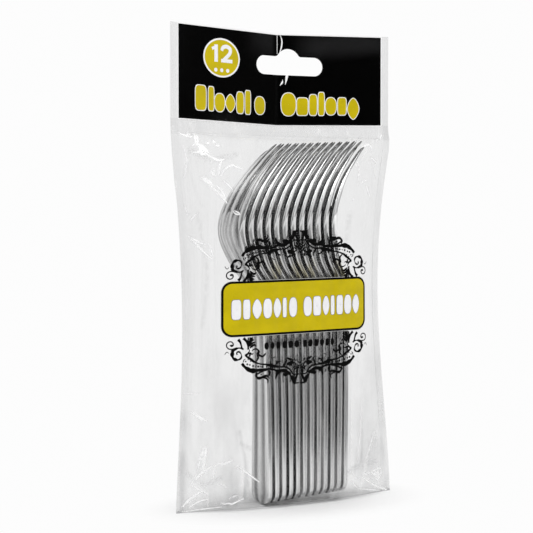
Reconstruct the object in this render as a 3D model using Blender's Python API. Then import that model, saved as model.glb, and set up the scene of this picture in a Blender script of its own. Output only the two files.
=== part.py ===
"""Plastic cutlery pack: a clear header bag with a creased header, and twelve nested forks standing in it.

Metres, +Z up. X runs across the bag, its printed front faces -Y. The origin is the middle of its floor.
"""
import math

import bmesh
import bpy

# Bag: the outside of the film, laid flat
BAG_HEIGHT = 0.245
BAG_WIDTH = 0.128
FILM = 0.0004
WELD = 0.0042
CLEARANCE = 0.0003

# Bag: how full it stands
FLOOR_DEPTH = 0.0264
BELLY_DEPTH = 0.0280
BELLY_START = 0.040
FLOOR_ROUNDNESS = 2.5
BELLY_ROUNDNESS = 7.0
SHOULDER_ROUNDNESS = 11.0
SEAL_HEIGHT = 0.0070
LEFT_WAIST = 0.0036
LEFT_WAIST_TOP = 0.87
LEFT_WAIST_SKEW = 1.19
RIGHT_WAIST = 0.0082
RIGHT_WAIST_TOP = 1.0
RIGHT_WAIST_SKEW = 1.35

# Header: the black panel between the two layers of film
HEADER_DEPTH = 0.0480
HEADER_PANEL = 0.0005
HEADER_TOP_MARGIN = 0.0006
CREASE_PLACE = 0.0006
CREASE_SET = 0.0130
LEFT_EDGE_SET = 0.0057
RIGHT_EDGE_SET = 0.0025
CREASE_SINK = 0.0013

# Heights that follow the bag's height
SHOULDER_DEPTH = 0.040
LEAN_DEPTH = 0.014
LEFT_LEAN_DEPTH = 0.047
FORK_ROOM = 0.005
SHOULDER_HEIGHT = BAG_HEIGHT - HEADER_DEPTH - SEAL_HEIGHT - SHOULDER_DEPTH
LEAN_START = BAG_HEIGHT - HEADER_DEPTH - LEAN_DEPTH
LEFT_LEAN_START = BAG_HEIGHT - HEADER_DEPTH - LEFT_LEAN_DEPTH
FORK_LENGTH = BAG_HEIGHT - HEADER_DEPTH - SEAL_HEIGHT - FORK_ROOM

# Hang hole: a slot with a bump over its middle
SLOT_LENGTH = 0.0385
SLOT_HEIGHT = 0.0098
SLOT_FROM_TOP = 0.0178
SLOT_FROM_CREASE = 0.0066
SLOT_END_FLAT = 0.0001
BUMP_WIDTH = 0.0120
BUMP_RISE = 0.0042

# Printed fields: a plate on the front, and a badge, a little wider than high, on the header
LABEL_WIDTH = 0.0835
LABEL_HEIGHT = 0.0268
LABEL_CORNER = 0.0042
LABEL_PLACE = -0.0025
LABEL_MIDDLE = 0.1025
BADGE_WIDTH = 0.0222
BADGE_HEIGHT = 0.0199
BADGE_FROM_EDGE = 0.0300
BADGE_FROM_TOP = 0.0162
PRINT = 0.0003

# Forks
FORK_COUNT = 12
FIRST_FORK_PLACE = -0.0166
HANDLE_PITCH = 0.0041
NECK_PITCH = 0.00445
HEAD_PITCH = 0.0049
TIP_PITCH = 0.00445
FORK_RISE = 0.00025
HANDLE_END_WIDTH = 0.0190
HANDLE_WAIST_WIDTH = 0.0150
HANDLE_CORNER = 0.0065
HEAD_WIDTH = 0.0250
TIP_WIDTH = 0.0180
BOWL_TO_TIP = 0.0440
NECK_TO_BOWL = 0.0290
BOWL_HEIGHT = FORK_LENGTH - BOWL_TO_TIP
NECK_HEIGHT = BOWL_HEIGHT - NECK_TO_BOWL
NECK_SET = 0.0045
BOWL_SET = 0.0178
TIP_REACH = 0.0132
NECK_START = 0.17
NECK_BEND = (0.40, 0.58)
LOWER_TINES = (0.45, 0.56)
UPPER_TINES = (0.82, 0.30)
MIDDLE_PLACE = 0.45
MIDDLE_SHARE = 0.60
WAIST_PLACE = 0.75
NECK_WIDTH_SHARE = 0.45
HEAD_STRAIGHT = 0.0080
HEAD_DISH = 0.0024
HANDLE_DISH = 0.0005
GROOVE = 0.0006
WALL = 0.0017
HEAD_RIM = 0.0041
EDGE_ROUND = 0.0008
TINE_LENGTH = 0.0340
OUTER_TINE_SHORTER = 0.0030
SLOT_SHARE = 0.28
TINE_TIP_WIDTH = 0.0020
TINE_TIP_WALL = 0.0012

# Lines along a fork: smallest share of its half width that counts as rim, side or channel
RIM_SHARE = 0.99
SIDE_SHARE = 0.5
CHANNEL_SHARE = 0.3

# Fineness of the meshes
FILM_COLUMNS = 20
FILM_ROWS = 16
SHOULDER_ROWS = 6
TINE_ROWS = 4
SHOULDER_SPLIT = 0.7
CORNER_STEPS = 4
HANDLE_CORNER_ROWS = 3
HANDLE_ROW_PLACE = 0.3
NECK_ROWS = (-1.0, -0.35, 0.0, 0.25, 0.5, 0.75)
SLOT_STEPS = 5
BUMP_STEPS = 8
PLATE_COLUMNS = 12
TINY = 0.000001

# Folds of the film: ends (across, height), width and how far the film stands out along it
FRONT_FOLDS = (
    ((-0.058, 0.030), (-0.036, 0.026), 0.006, 0.0014),
    ((-0.062, 0.004), (-0.034, 0.020), 0.006, -0.0012),
    ((-0.060, 0.178), (-0.040, 0.172), 0.006, 0.0014),
    ((-0.052, 0.150), (-0.046, 0.128), 0.005, 0.0012),
    ((0.062, 0.004), (0.040, 0.018), 0.006, 0.0014),
    ((0.050, 0.174), (0.054, 0.140), 0.005, -0.0012),
    ((-0.055, 0.060), (-0.050, 0.020), 0.005, 0.0010),
)
BACK_FOLDS = (
    ((-0.058, 0.165), (-0.030, 0.180), 0.007, 0.0014),
    ((0.056, 0.020), (0.034, 0.012), 0.006, 0.0014),
    ((-0.050, 0.090), (-0.046, 0.030), 0.006, 0.0012),
    ((0.048, 0.120), (0.050, 0.060), 0.006, -0.0012),
)


def seal_bottom():
    return BAG_HEIGHT - HEADER_DEPTH - SEAL_HEIGHT


def smooth_step(value):
    share = min(1.0, max(0.0, value))
    return share * share * (3 - 2 * share)


def mix(start, end, share):
    return start + (end - start) * share


def curve_through(knots, at):
    """Smooth curve through hand-chosen (place, value) knots."""
    last = len(knots) - 1
    for index in range(last):
        if at <= knots[index + 1][0] or index == last - 1:
            break
    before = knots[max(0, index - 1)]
    start = knots[index]
    end = knots[index + 1]
    after = knots[min(last, index + 2)]
    span = end[0] - start[0]
    start_slope = (end[1] - before[1]) / (end[0] - before[0])
    end_slope = (after[1] - start[1]) / (after[0] - start[0])
    share = (at - start[0]) / span
    square = share * share
    cube = square * share
    return (
        (2 * cube - 3 * square + 1) * start[1]
        + (cube - 2 * square + share) * span * start_slope
        + (3 * square - 2 * cube) * end[1]
        + (cube - square) * span * end_slope
    )


def half_width(side, height):
    """Half the standing bag's width at a height: side is -1 on the left and 1 on the right."""
    waist, top, skew = RIGHT_WAIST, RIGHT_WAIST_TOP, RIGHT_WAIST_SKEW
    if side < 0:
        waist, top, skew = LEFT_WAIST, LEFT_WAIST_TOP, LEFT_WAIST_SKEW
    share = min(1.0, height / (top * seal_bottom()))
    return BAG_WIDTH / 2 - waist * math.sin(math.pi * share ** skew)


def edge_share(across):
    """How far a place is from the crease, from 0 there to 1 at the film's edge."""
    if across < CREASE_PLACE:
        return (CREASE_PLACE - across) / (CREASE_PLACE + BAG_WIDTH / 2)
    return (across - CREASE_PLACE) / (BAG_WIDTH / 2 - CREASE_PLACE)


def bent_back(start, height):
    """Share of its lean that the film has at a height: none at its start and all at the header."""
    return smooth_step((height - start) / (BAG_HEIGHT - HEADER_DEPTH - start))


def lean(across, height):
    """How far back the film's middle lies: the header is behind the forks, furthest back at its crease."""
    middle = CREASE_SET * bent_back(LEAN_START, height)
    if across < CREASE_PLACE:
        edge = LEFT_EDGE_SET * bent_back(LEFT_LEAN_START, height)
    else:
        edge = RIGHT_EDGE_SET * bent_back(LEAN_START, height)
    return mix(middle, edge, edge_share(across))


def sink(across, height):
    """How much lower the film lies for going back over the tips of the forks."""
    return CREASE_SINK * bent_back(LEAN_START, height) * (1 - edge_share(across))


def belly(share, height):
    """Half the depth of the bag's inside, share being the place across from -1 to 1."""
    rise = smooth_step(height / BELLY_START)
    depth = mix(FLOOR_DEPTH, BELLY_DEPTH, rise) / 2 - FILM
    roundness = mix(FLOOR_ROUNDNESS, BELLY_ROUNDNESS, rise)
    if height > SHOULDER_HEIGHT:
        up = min(1.0, (height - SHOULDER_HEIGHT) / (seal_bottom() - SHOULDER_HEIGHT))
        depth = depth * math.sqrt(max(0.0, 1 - up ** SHOULDER_ROUNDNESS))
    return depth * (1 - abs(share) ** roundness)


def pocket(height):
    """Half the gap that is left between the layers where the bag is closed or holds the header panel."""
    header_bottom = BAG_HEIGHT - HEADER_DEPTH
    if height < header_bottom:
        return CLEARANCE / 2
    return HEADER_PANEL / 2 + CLEARANCE


def fold_height(folds, across, height):
    """Sum of the film's folds at one place."""
    total = 0.0
    for (start_x, start_z), (end_x, end_z), width, rise in folds:
        run_x = end_x - start_x
        run_z = end_z - start_z
        length_squared = run_x * run_x + run_z * run_z
        along = ((across - start_x) * run_x + (height - start_z) * run_z) / length_squared
        near = min(1.0, max(0.0, along))
        away = math.hypot(across - start_x - near * run_x, height - start_z - near * run_z)
        total += rise * math.exp(-((away / width) ** 2))
    return total


def film_point(across_share, height, side, layer):
    """A point of the film: side is -1 on the front and 1 on the back, layer 0 inside and 1 outside."""
    edge = -1 if across_share < 0 else 1
    across = across_share * half_width(edge, height)
    inner_share = across_share * BAG_WIDTH / (BAG_WIDTH - 2 * WELD)
    gap = 0.0
    if abs(inner_share) < 1 + TINY:
        folds = FRONT_FOLDS if side < 0 else BACK_FOLDS
        filled = belly(min(1.0, abs(inner_share)), height)
        fullness = min(1.0, filled / (BELLY_DEPTH / 4))
        gap = pocket(height) + filled + fullness * fold_height(folds, across, height)
    return (across, lean(across, height) + side * (gap + layer * FILM), height - sink(across, height))


def film_shares():
    """Places across the film from -1 to 1: its edges, the insides of its welds and steps between them."""
    inner = 1 - 2 * WELD / BAG_WIDTH
    crease = 2 * CREASE_PLACE / BAG_WIDTH
    half = FILM_COLUMNS // 2
    left = [mix(-inner, crease, index / half) for index in range(half)]
    right = [mix(crease, inner, index / half) for index in range(half + 1)]
    return [-1.0] + left + right + [1.0]


def film_heights():
    """Heights of the film's rows: even up to the shoulder, close together over it, then seal and header."""
    shoulder_start = mix(SHOULDER_HEIGHT, seal_bottom(), SHOULDER_SPLIT)
    even = [mix(0.0, shoulder_start, row / FILM_ROWS) for row in range(FILM_ROWS)]
    close = [
        mix(shoulder_start, seal_bottom(), math.sin(row / SHOULDER_ROWS * math.pi / 2))
        for row in range(SHOULDER_ROWS + 1)
    ]
    header_bottom = BAG_HEIGHT - HEADER_DEPTH
    return even + close + [header_bottom - CLEARANCE, header_bottom, BAG_HEIGHT]


def add_grid_faces(mesh, rows, flip):
    for lower, upper in zip(rows[:-1], rows[1:]):
        for index in range(len(lower) - 1):
            corners = [lower[index], lower[index + 1], upper[index + 1], upper[index]]
            distinct = list(dict.fromkeys(corners))
            if len(distinct) > 2:
                mesh.faces.new(reversed(distinct) if flip else distinct)


def make_object(name, mesh, material):
    bmesh.ops.recalc_face_normals(mesh, faces=mesh.faces)
    data = bpy.data.meshes.new(name)
    mesh.to_mesh(data)
    mesh.free()
    data.materials.append(material)
    made = bpy.data.objects.new(name, data)
    bpy.context.collection.objects.link(made)
    return made


def make_material(name, colour, roughness, metallic=0.0, alpha=1.0):
    material = bpy.data.materials.new(name)
    material.use_nodes = True
    shader = material.node_tree.nodes["Principled BSDF"]
    shader.inputs["Base Color"].default_value = (*colour, 1.0)
    shader.inputs["Roughness"].default_value = roughness
    shader.inputs["Metallic"].default_value = metallic
    shader.inputs["Alpha"].default_value = alpha
    material.diffuse_color = (*colour, alpha)
    return material


def make_film(material):
    """The bag: two layers of one film, welded along the sides and joined by a flat floor."""
    mesh = bmesh.new()
    shares = film_shares()
    heights = film_heights()
    outer = {}
    inner = {}
    for side in (-1, 1):
        outer[side] = [
            [mesh.verts.new(film_point(share, height, side, 1)) for share in shares] for height in heights
        ]
    inner_shares = shares[1:-1]
    inner_heights = [FILM] + heights[1:]
    for side in (-1, 1):
        inner[side] = []
        for height in inner_heights:
            row = [mesh.verts.new(film_point(share, height, side, 0)) for share in inner_shares]
            inner[side].append(row)
    for side in (-1, 1):
        add_grid_faces(mesh, outer[side], side > 0)
        add_grid_faces(mesh, inner[side], side < 0)
        add_grid_faces(mesh, [outer[side][-1][1:-1], inner[side][-1]], side > 0)
    add_grid_faces(mesh, [outer[-1][0], outer[1][0]], True)
    add_grid_faces(mesh, [inner[-1][0], inner[1][0]], False)
    for end, beside in ((0, 1), (-1, -2)):
        for layer in (outer, inner):
            add_grid_faces(mesh, [[row[end] for row in layer[side]] for side in (-1, 1)], end == 0)
        front_top = [outer[-1][-1][end], outer[-1][-1][beside], inner[-1][-1][end]]
        back_top = [inner[1][-1][end], outer[1][-1][beside], outer[1][-1][end]]
        mesh.faces.new(front_top + back_top)
    return make_object("bag_film", mesh, material)


def crease_strip(name, left, right, bottom, top, thickness, material):
    """A panel that follows the creased header from its left to its right edge."""
    columns = [left, CREASE_PLACE, right]
    for index in range(1, FILM_COLUMNS // 2):
        columns.append(mix(left, CREASE_PLACE, index / (FILM_COLUMNS // 2)))
        columns.append(mix(CREASE_PLACE, right, index / (FILM_COLUMNS // 2)))
    columns.sort()
    mesh = bmesh.new()
    layers = []
    for step in (0.0, 1.0):
        layers.append([
            [mesh.verts.new((x, lean(x, z) + (step - 0.5) * thickness, z - sink(x, z))) for x in columns]
            for z in (bottom, top)
        ])
    close_layers(mesh, layers)
    return make_object(name, mesh, material)


def close_layers(mesh, layers):
    """Joins two like grids of points into one closed plate."""
    front, back = layers
    add_grid_faces(mesh, front, False)
    add_grid_faces(mesh, back, True)
    add_grid_faces(mesh, [front[0], back[0]], True)
    add_grid_faces(mesh, [front[-1], back[-1]], False)
    for end in (0, -1):
        add_grid_faces(mesh, [[row[end] for row in front], [row[end] for row in back]], end == 0)


def rounded_outline(width, height, corner, steps):
    """Points round a rectangle with round corners, from its lower right one."""
    points = []
    for turn, (side, end) in enumerate(((1, -1), (1, 1), (-1, 1), (-1, -1))):
        for step in range(steps + 1):
            angle = math.radians(90 * (turn - 1 + step / steps))
            across = side * (width / 2 - corner) + corner * math.cos(angle)
            up = end * (height / 2 - corner) + corner * math.sin(angle)
            points.append((across, up))
    return points


def hole_outline():
    """The hang hole seen from the front, about the slot's middle."""
    slot = rounded_outline(SLOT_LENGTH, SLOT_HEIGHT, (SLOT_HEIGHT - SLOT_END_FLAT) / 2, SLOT_STEPS)
    right_end = slot[:2 * (SLOT_STEPS + 1)]
    left_end = slot[2 * (SLOT_STEPS + 1):]
    bump = []
    for step in range(BUMP_STEPS + 1):
        angle = math.pi * step / BUMP_STEPS
        bump.append((BUMP_WIDTH / 2 * math.cos(angle), SLOT_HEIGHT / 2 + BUMP_RISE * math.sin(angle)))
    return right_end + bump + left_end


def make_cutter(name, outline, across, height, reach, material):
    mesh = bmesh.new()
    face = mesh.faces.new([mesh.verts.new((across + x, -reach, height + z)) for x, z in outline])
    pulled = bmesh.ops.extrude_face_region(mesh, geom=[face])
    moved = [item for item in pulled["geom"] if isinstance(item, bmesh.types.BMVert)]
    bmesh.ops.translate(mesh, verts=moved, vec=(0, 2 * reach, 0))
    cutter = make_object(name, mesh, material)
    cutter.hide_render = True
    cutter.display_type = "WIRE"
    return cutter


def cut(target, cutter):
    modifier = target.modifiers.new("Hang hole", "BOOLEAN")
    modifier.operation = "DIFFERENCE"
    modifier.object = cutter


def corner_half_height(across, width, height, corner_width, corner_height):
    """Half the height of a rectangle with round corners at a distance from its middle."""
    past = abs(across) - (width / 2 - corner_width)
    if past <= 0:
        return height / 2
    round_share = math.sqrt(max(0.0, 1 - (past / corner_width) ** 2))
    return height / 2 - corner_height * (1 - round_share)


def print_plate(name, width, height, corner_width, corner_height, across, middle, material):
    """A thin plate with round corners that lies on the front of the film."""
    straight = width - 2 * corner_width
    columns = []
    for step in range(CORNER_STEPS):
        turn = math.pi / 2 * step / CORNER_STEPS
        columns.append(width / 2 - corner_width + corner_width * math.cos(turn))
    for step in range(PLATE_COLUMNS):
        columns.append(straight / 2 * (1 - 2 * step / PLATE_COLUMNS))
    columns = sorted(set(columns) | {-x for x in columns})
    mesh = bmesh.new()
    layers = []
    for depth in (CLEARANCE + PRINT, CLEARANCE):
        rows = [[], [], []]
        for x in columns:
            half = corner_half_height(x, width, height, corner_width, corner_height)
            shared = None
            for row, side in zip(rows, (-1, 0, 1)):
                z = middle + side * half
                if shared is None or half > TINY:
                    shared = mesh.verts.new((across + x, front_face(across + x, z) - depth, z))
                row.append(shared)
        layers.append(rows)
    close_layers(mesh, layers)
    return make_object(name, mesh, material)


def front_face(across, height):
    """The film's outer front at a place across and up."""
    edge = -1 if across < 0 else 1
    share = across / half_width(edge, height)
    return film_point(share, height, -1, 1)[1]


def pitch_at(height):
    """Distance from one fork to the next: the stack spreads at its heads and closes again at the tips."""
    knots = (
        (0.0, HANDLE_PITCH),
        (NECK_HEIGHT, NECK_PITCH),
        (BOWL_HEIGHT, HEAD_PITCH),
        (FORK_LENGTH, TIP_PITCH),
    )
    return curve_through(knots, height)


def spine(height):
    """Side view of a fork's back: straight handle, set-back bowl and tines that curve forward."""
    bend = BOWL_HEIGHT - NECK_HEIGHT
    rise = FORK_LENGTH - BOWL_HEIGHT
    knots = (
        (0.0, 0.0),
        (NECK_HEIGHT - bend, -NECK_SET * NECK_START),
        (NECK_HEIGHT, -NECK_SET),
        (NECK_HEIGHT + bend * NECK_BEND[0], -mix(NECK_SET, BOWL_SET, NECK_BEND[1])),
        (BOWL_HEIGHT, -BOWL_SET),
        (BOWL_HEIGHT + rise * LOWER_TINES[0], -BOWL_SET * LOWER_TINES[1]),
        (BOWL_HEIGHT + rise * UPPER_TINES[0], TIP_REACH * UPPER_TINES[1]),
        (FORK_LENGTH, TIP_REACH),
    )
    return curve_through(knots, height)


def fork_half_width(height):
    """Half the fork's width: round handle end, long waist, head and narrowing tines."""
    if height < HANDLE_CORNER:
        rest = 1 - height / HANDLE_CORNER
        return HANDLE_END_WIDTH / 2 - HANDLE_CORNER * (1 - math.sqrt(1 - rest * rest))
    knots = (
        (HANDLE_CORNER, HANDLE_END_WIDTH / 2),
        (NECK_HEIGHT * MIDDLE_PLACE, mix(HANDLE_END_WIDTH, HANDLE_WAIST_WIDTH, MIDDLE_SHARE) / 2),
        (NECK_HEIGHT * WAIST_PLACE, HANDLE_WAIST_WIDTH / 2),
        (NECK_HEIGHT, mix(HANDLE_WAIST_WIDTH, HEAD_WIDTH, NECK_WIDTH_SHARE) / 2),
        (BOWL_HEIGHT - HEAD_STRAIGHT, HEAD_WIDTH / 2),
        (BOWL_HEIGHT + HEAD_STRAIGHT, HEAD_WIDTH / 2),
        (FORK_LENGTH, TIP_WIDTH / 2),
    )
    return curve_through(knots, height)


def line_shares():
    """Places of the eight lines along a fork, as shares of its half width: the edges of four tines."""
    tine = (2 - 3 * SLOT_SHARE) / 4
    edges = []
    place = -1.0
    for index in range(4):
        edges.append(place)
        edges.append(place + tine)
        place += tine + SLOT_SHARE
    return edges


def fork_sections(height, share):
    """Back and front of a fork on one of its lines, measured from the spine."""
    head = smooth_step((height - NECK_HEIGHT) / (BOWL_HEIGHT - NECK_HEIGHT))
    dish = mix(HANDLE_DISH, HEAD_DISH, head)
    place = abs(share)
    back = -dish * (1 - place * place)
    rim = mix(HANDLE_PITCH - CLEARANCE, HEAD_RIM, head)
    if place > RIM_SHARE:
        return back + EDGE_ROUND, back + rim - EDGE_ROUND
    if place > SIDE_SHARE:
        return back, mix(rim, back + WALL, head)
    if place > CHANNEL_SHARE:
        groove = mix(GROOVE, 0.0, head)
        return back + groove, back + groove + WALL
    return back, back + WALL + GROOVE


def fork_point(place, share, height, front):
    """A point of the fork that stands at the given place in the stack."""
    back_x, front_x = fork_sections(height, share)
    across = spine(height) + (front_x if front else back_x)
    stack = FIRST_FORK_PLACE + place * pitch_at(height)
    foot = FILM + CLEARANCE + place * FORK_RISE
    return (stack + across, share * fork_half_width(height), foot + height)


def handle_heights():
    """Heights of the rows from the handle's end up to the roots of the tines."""
    turns = [math.pi / 2 * step / HANDLE_CORNER_ROWS for step in range(HANDLE_CORNER_ROWS + 1)]
    corner = [HANDLE_CORNER * (1 - math.cos(turn)) for turn in turns]
    neck = [NECK_HEIGHT + (BOWL_HEIGHT - NECK_HEIGHT) * step for step in NECK_ROWS]
    return corner + [NECK_HEIGHT * HANDLE_ROW_PLACE] + neck + [BOWL_HEIGHT, FORK_LENGTH - TINE_LENGTH]


def make_fork(place, material):
    """One fork: a channelled handle and head, then four tines."""
    mesh = bmesh.new()
    shares = line_shares()
    root = FORK_LENGTH - TINE_LENGTH
    sides = []
    for front in (False, True):
        sides.append([
            [mesh.verts.new(fork_point(place, share, height, front)) for share in shares]
            for height in handle_heights()
        ])
    back, front = sides
    add_grid_faces(mesh, back, False)
    add_grid_faces(mesh, front, True)
    add_grid_faces(mesh, [back[0], front[0]], True)
    for end in (0, -1):
        add_grid_faces(mesh, [[row[end] for row in back], [row[end] for row in front]], end == 0)
    for slot in (1, 3, 5):
        mesh.faces.new([back[-1][slot], back[-1][slot + 1], front[-1][slot + 1], front[-1][slot]])
    for tine in range(4):
        outer = tine in (0, 3)
        top = FORK_LENGTH - (OUTER_TINE_SHORTER if outer else 0.0)
        left = 2 * tine
        lower = [back[-1][left], back[-1][left + 1], front[-1][left + 1], front[-1][left]]
        for row in range(1, TINE_ROWS + 1):
            share = math.sin(row / TINE_ROWS * math.pi / 2)
            upper = tine_ring(mesh, place, shares[left], shares[left + 1], mix(root, top, share), share)
            for corner in range(4):
                beside = (corner + 1) % 4
                mesh.faces.new([lower[corner], lower[beside], upper[beside], upper[corner]])
            lower = upper
        mesh.faces.new(lower)
    return make_object(f"fork_{place + 1:02d}", mesh, material)


def tine_ring(mesh, place, left_share, right_share, height, share):
    """Four corners round one tine at a height, share being the way from its root to its tip."""
    middle = (left_share + right_share) / 2 * fork_half_width(height)
    root_width = (right_share - left_share) * fork_half_width(FORK_LENGTH - TINE_LENGTH)
    half = mix(root_width, TINE_TIP_WIDTH, share * share) / 2
    back_x = fork_point(place, (left_share + right_share) / 2, height, False)[0]
    wall = mix(WALL + GROOVE, TINE_TIP_WALL, share)
    up = fork_point(place, 0.0, height, False)[2]
    corners = (
        (back_x, middle - half),
        (back_x, middle + half),
        (back_x + wall, middle + half),
        (back_x + wall, middle - half),
    )
    return [mesh.verts.new((x, y, up)) for x, y in corners]


def main():
    for old in list(bpy.data.objects):
        bpy.data.objects.remove(old, do_unlink=True)
    film_clear = make_material("Clear film", (0.86, 0.87, 0.88), 0.12, alpha=0.35)
    header_black = make_material("Gloss black", (0.012, 0.012, 0.012), 0.15)
    label_yellow = make_material("Label yellow", (0.57, 0.45, 0.0), 0.35)
    silver = make_material("Silvered plastic", (0.75, 0.75, 0.76), 0.16, metallic=1.0)

    film = make_film(film_clear)
    panel_half = BAG_WIDTH / 2 - WELD - CLEARANCE
    header_bottom = BAG_HEIGHT - HEADER_DEPTH + CLEARANCE
    panel = crease_strip(
        "header_panel", -panel_half, panel_half, header_bottom, BAG_HEIGHT - HEADER_TOP_MARGIN,
        HEADER_PANEL, header_black,
    )
    hole = make_cutter(
        "hang_hole_cutter", hole_outline(), CREASE_PLACE + SLOT_FROM_CREASE, BAG_HEIGHT - SLOT_FROM_TOP,
        CREASE_SET + BELLY_DEPTH, header_black,
    )
    cut(film, hole)
    cut(panel, hole)
    print_plate(
        "label_field", LABEL_WIDTH, LABEL_HEIGHT, LABEL_CORNER, LABEL_CORNER,
        LABEL_PLACE, LABEL_MIDDLE, label_yellow,
    )
    print_plate(
        "badge_field", BADGE_WIDTH, BADGE_HEIGHT, BADGE_WIDTH / 2, BADGE_HEIGHT / 2,
        BADGE_FROM_EDGE - BAG_WIDTH / 2, BAG_HEIGHT - BADGE_FROM_TOP, label_yellow,
    )
    for place in range(FORK_COUNT):
        make_fork(place, silver)


main()
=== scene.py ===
"""Looks of a clear header bag that holds twelve nested silvered forks.

Metres, +Z up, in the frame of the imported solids. The printed front faces -Y.
"""

import math

import bpy
import numpy as np
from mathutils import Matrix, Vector


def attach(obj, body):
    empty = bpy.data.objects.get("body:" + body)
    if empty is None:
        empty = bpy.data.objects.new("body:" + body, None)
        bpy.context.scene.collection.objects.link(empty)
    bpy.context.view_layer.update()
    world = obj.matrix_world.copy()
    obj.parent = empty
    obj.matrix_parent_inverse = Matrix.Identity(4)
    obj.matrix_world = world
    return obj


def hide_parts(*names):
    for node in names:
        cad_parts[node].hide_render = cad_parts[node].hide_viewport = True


bl_info = {
    "name": "Fork pack looks",
    "version": (1, 0, 0),
    "blender": (4, 5, 0),
    "location": "3D View > Sidebar > Fork Pack",
    "description": "Builds the film, header, print and forks of a clear header bag",
    "category": "Object",
}

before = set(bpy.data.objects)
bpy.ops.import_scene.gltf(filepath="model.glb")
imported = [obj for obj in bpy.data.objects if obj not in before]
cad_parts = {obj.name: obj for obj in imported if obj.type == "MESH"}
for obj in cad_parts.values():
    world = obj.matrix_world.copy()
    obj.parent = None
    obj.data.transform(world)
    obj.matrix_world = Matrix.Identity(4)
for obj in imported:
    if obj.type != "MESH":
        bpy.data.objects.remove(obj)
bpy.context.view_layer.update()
BODY = "root"
MM = 0.001

# The bag, as its solid has it
BAG_HEIGHT = 0.245
BAG_WIDTH = 0.128
FILM = 0.0004
WELD = 0.0042
CLEARANCE = 0.0003
FLOOR_DEPTH = 0.0264
BELLY_DEPTH = 0.0280
BELLY_START = 0.040
FLOOR_ROUNDNESS = 2.5
BELLY_ROUNDNESS = 7.0
FLOOR_ROUND = 0.0045
FLOOR_HALF_SHARE = 0.52
SHOULDER_HEIGHT = 0.150
SHOULDER_ROUNDNESS = 11.0
SEAL_HEIGHT = 0.0070
LEFT_WAIST = (0.0036, 0.87, 1.19)
RIGHT_WAIST = (0.0082, 1.0, 1.35)
HEADER_DEPTH = 0.0480
HEADER_PANEL = 0.0005
HEADER_TOP_MARGIN = 0.0006
HEADER_BOTTOM = BAG_HEIGHT - HEADER_DEPTH
SEAL_BOTTOM = HEADER_BOTTOM - SEAL_HEIGHT
CREASE_PLACE = 0.0006
CREASE_SET = 0.0130
LEFT_EDGE_SET = 0.0057
RIGHT_EDGE_SET = 0.0025
CREASE_SINK = 0.0013
LEAN_START = 0.183
LEFT_LEAN_START = 0.150

# How the film's and header's meshes lie
FILM_LAYER = 0.6
FLOOR_ROWS = 7
FLOOR_LEVEL = 0.0001
WAVE_RISE = 0.00009
CRIMP_PITCH = 0.0009
HEADER_HALF = BAG_WIDTH / 2 - WELD - CLEARANCE
HEADER_COLUMNS = 75
HEADER_ROWS = 62
PRINT_EDGE = 0.0006
EDGE_LINE_OUT = 0.00022
EDGE_LINE_WIDTH = 0.42

# The painted white glints on the creases: layer above the film and width along them, set against the crease's
# own
GLINT_LAYER = 0.08
GLINT_SPREAD = 4.0
GLINT_TAPER = (0.25, 0.8, 1.1, 0.8, 0.25)

# The painted highlight on the header's crease in mm: points (from the crease, height) and widths
CREASE_SHINES = (
    (((0.0, 244.9), (0.0, 239.0), (0.0, 234.4)), (0.26, 0.3, 0.22)),
    (((1.6, 244.6), (2.6, 241.6), (2.4, 238.2), (1.2, 234.6)), (0.1, 0.7, 0.75, 0.1)),
    (((5.5, 223.6), (5.1, 221.4), (4.5, 218.4)), (1.6, 1.1, 0.15)),
    (((3.0, 221.2), (2.9, 219.8), (1.6, 218.0)), (0.1, 1.1, 0.2)),
)

# The hang hole
SLOT_LENGTH = 0.0385
SLOT_HEIGHT = 0.0098
SLOT_MIDDLE = (0.0072, 0.2272)
BUMP_WIDTH = 0.0124
BUMP_RISE = 0.0040
HOLE_BLEND = 0.0009

# The forks, as their solids have them
FORK_COUNT = 12
FORK_LENGTH = 0.1850
FIRST_FORK_PLACE = -0.0166
PITCH_KNOTS = ((0.0, 0.0041), (0.112, 0.00445), (0.141, 0.0049), (0.185, 0.00445))
SPINE_KNOTS = (
    (0.0, 0.0), (0.083, -0.00077), (0.112, -0.0045), (0.1236, -0.01221), (0.141, -0.0178),
    (0.1608, -0.00997), (0.17708, 0.00396), (0.185, 0.0132),
)
HANDLE_CORNER = 0.0065
WIDTH_KNOTS = (
    (HANDLE_CORNER, 0.0095), (0.0504, 0.0083), (0.084, 0.0075), (0.112, 0.00975),
    (0.133, 0.0125), (0.149, 0.0125), (0.185, 0.0090),
)
FORK_RISE = 0.00025
NECK_HEIGHT = 0.1120
BOWL_HEIGHT = 0.1410
STRAIGHT_HANDLE = 0.083
TINE_COUNT = 4
TINE_LENGTH = 0.0340
TINE_ROOT = FORK_LENGTH - TINE_LENGTH
TINE_OVERLAP = 0.012
OUTER_TINE_SHORTER = 0.0030
TINE_STEPS = 21
HEAD_DISH = 0.0024
SLOT_SHARE = 0.28
# How much of its painted shade the last fork of the stack keeps
LAST_FORK_DARK = 0.3

# Folds of the film that its solid has: ends (across, height), width and rise
FRONT_FOLDS = (
    ((-0.058, 0.030), (-0.036, 0.026), 0.006, 0.0014),
    ((-0.062, 0.004), (-0.034, 0.020), 0.006, -0.0012),
    ((-0.060, 0.178), (-0.040, 0.172), 0.006, 0.0014),
    ((-0.052, 0.150), (-0.046, 0.128), 0.005, 0.0012),
    ((0.062, 0.004), (0.040, 0.018), 0.006, 0.0014),
    ((0.050, 0.174), (0.054, 0.140), 0.005, -0.0012),
    ((-0.055, 0.060), (-0.050, 0.020), 0.005, 0.0010),
)
BACK_FOLDS = (
    ((-0.058, 0.165), (-0.030, 0.180), 0.007, 0.0014),
    ((0.056, 0.020), (0.034, 0.012), 0.006, 0.0014),
    ((-0.050, 0.090), (-0.046, 0.030), 0.006, 0.0012),
    ((0.048, 0.120), (0.050, 0.060), 0.006, -0.0012),
)
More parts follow.
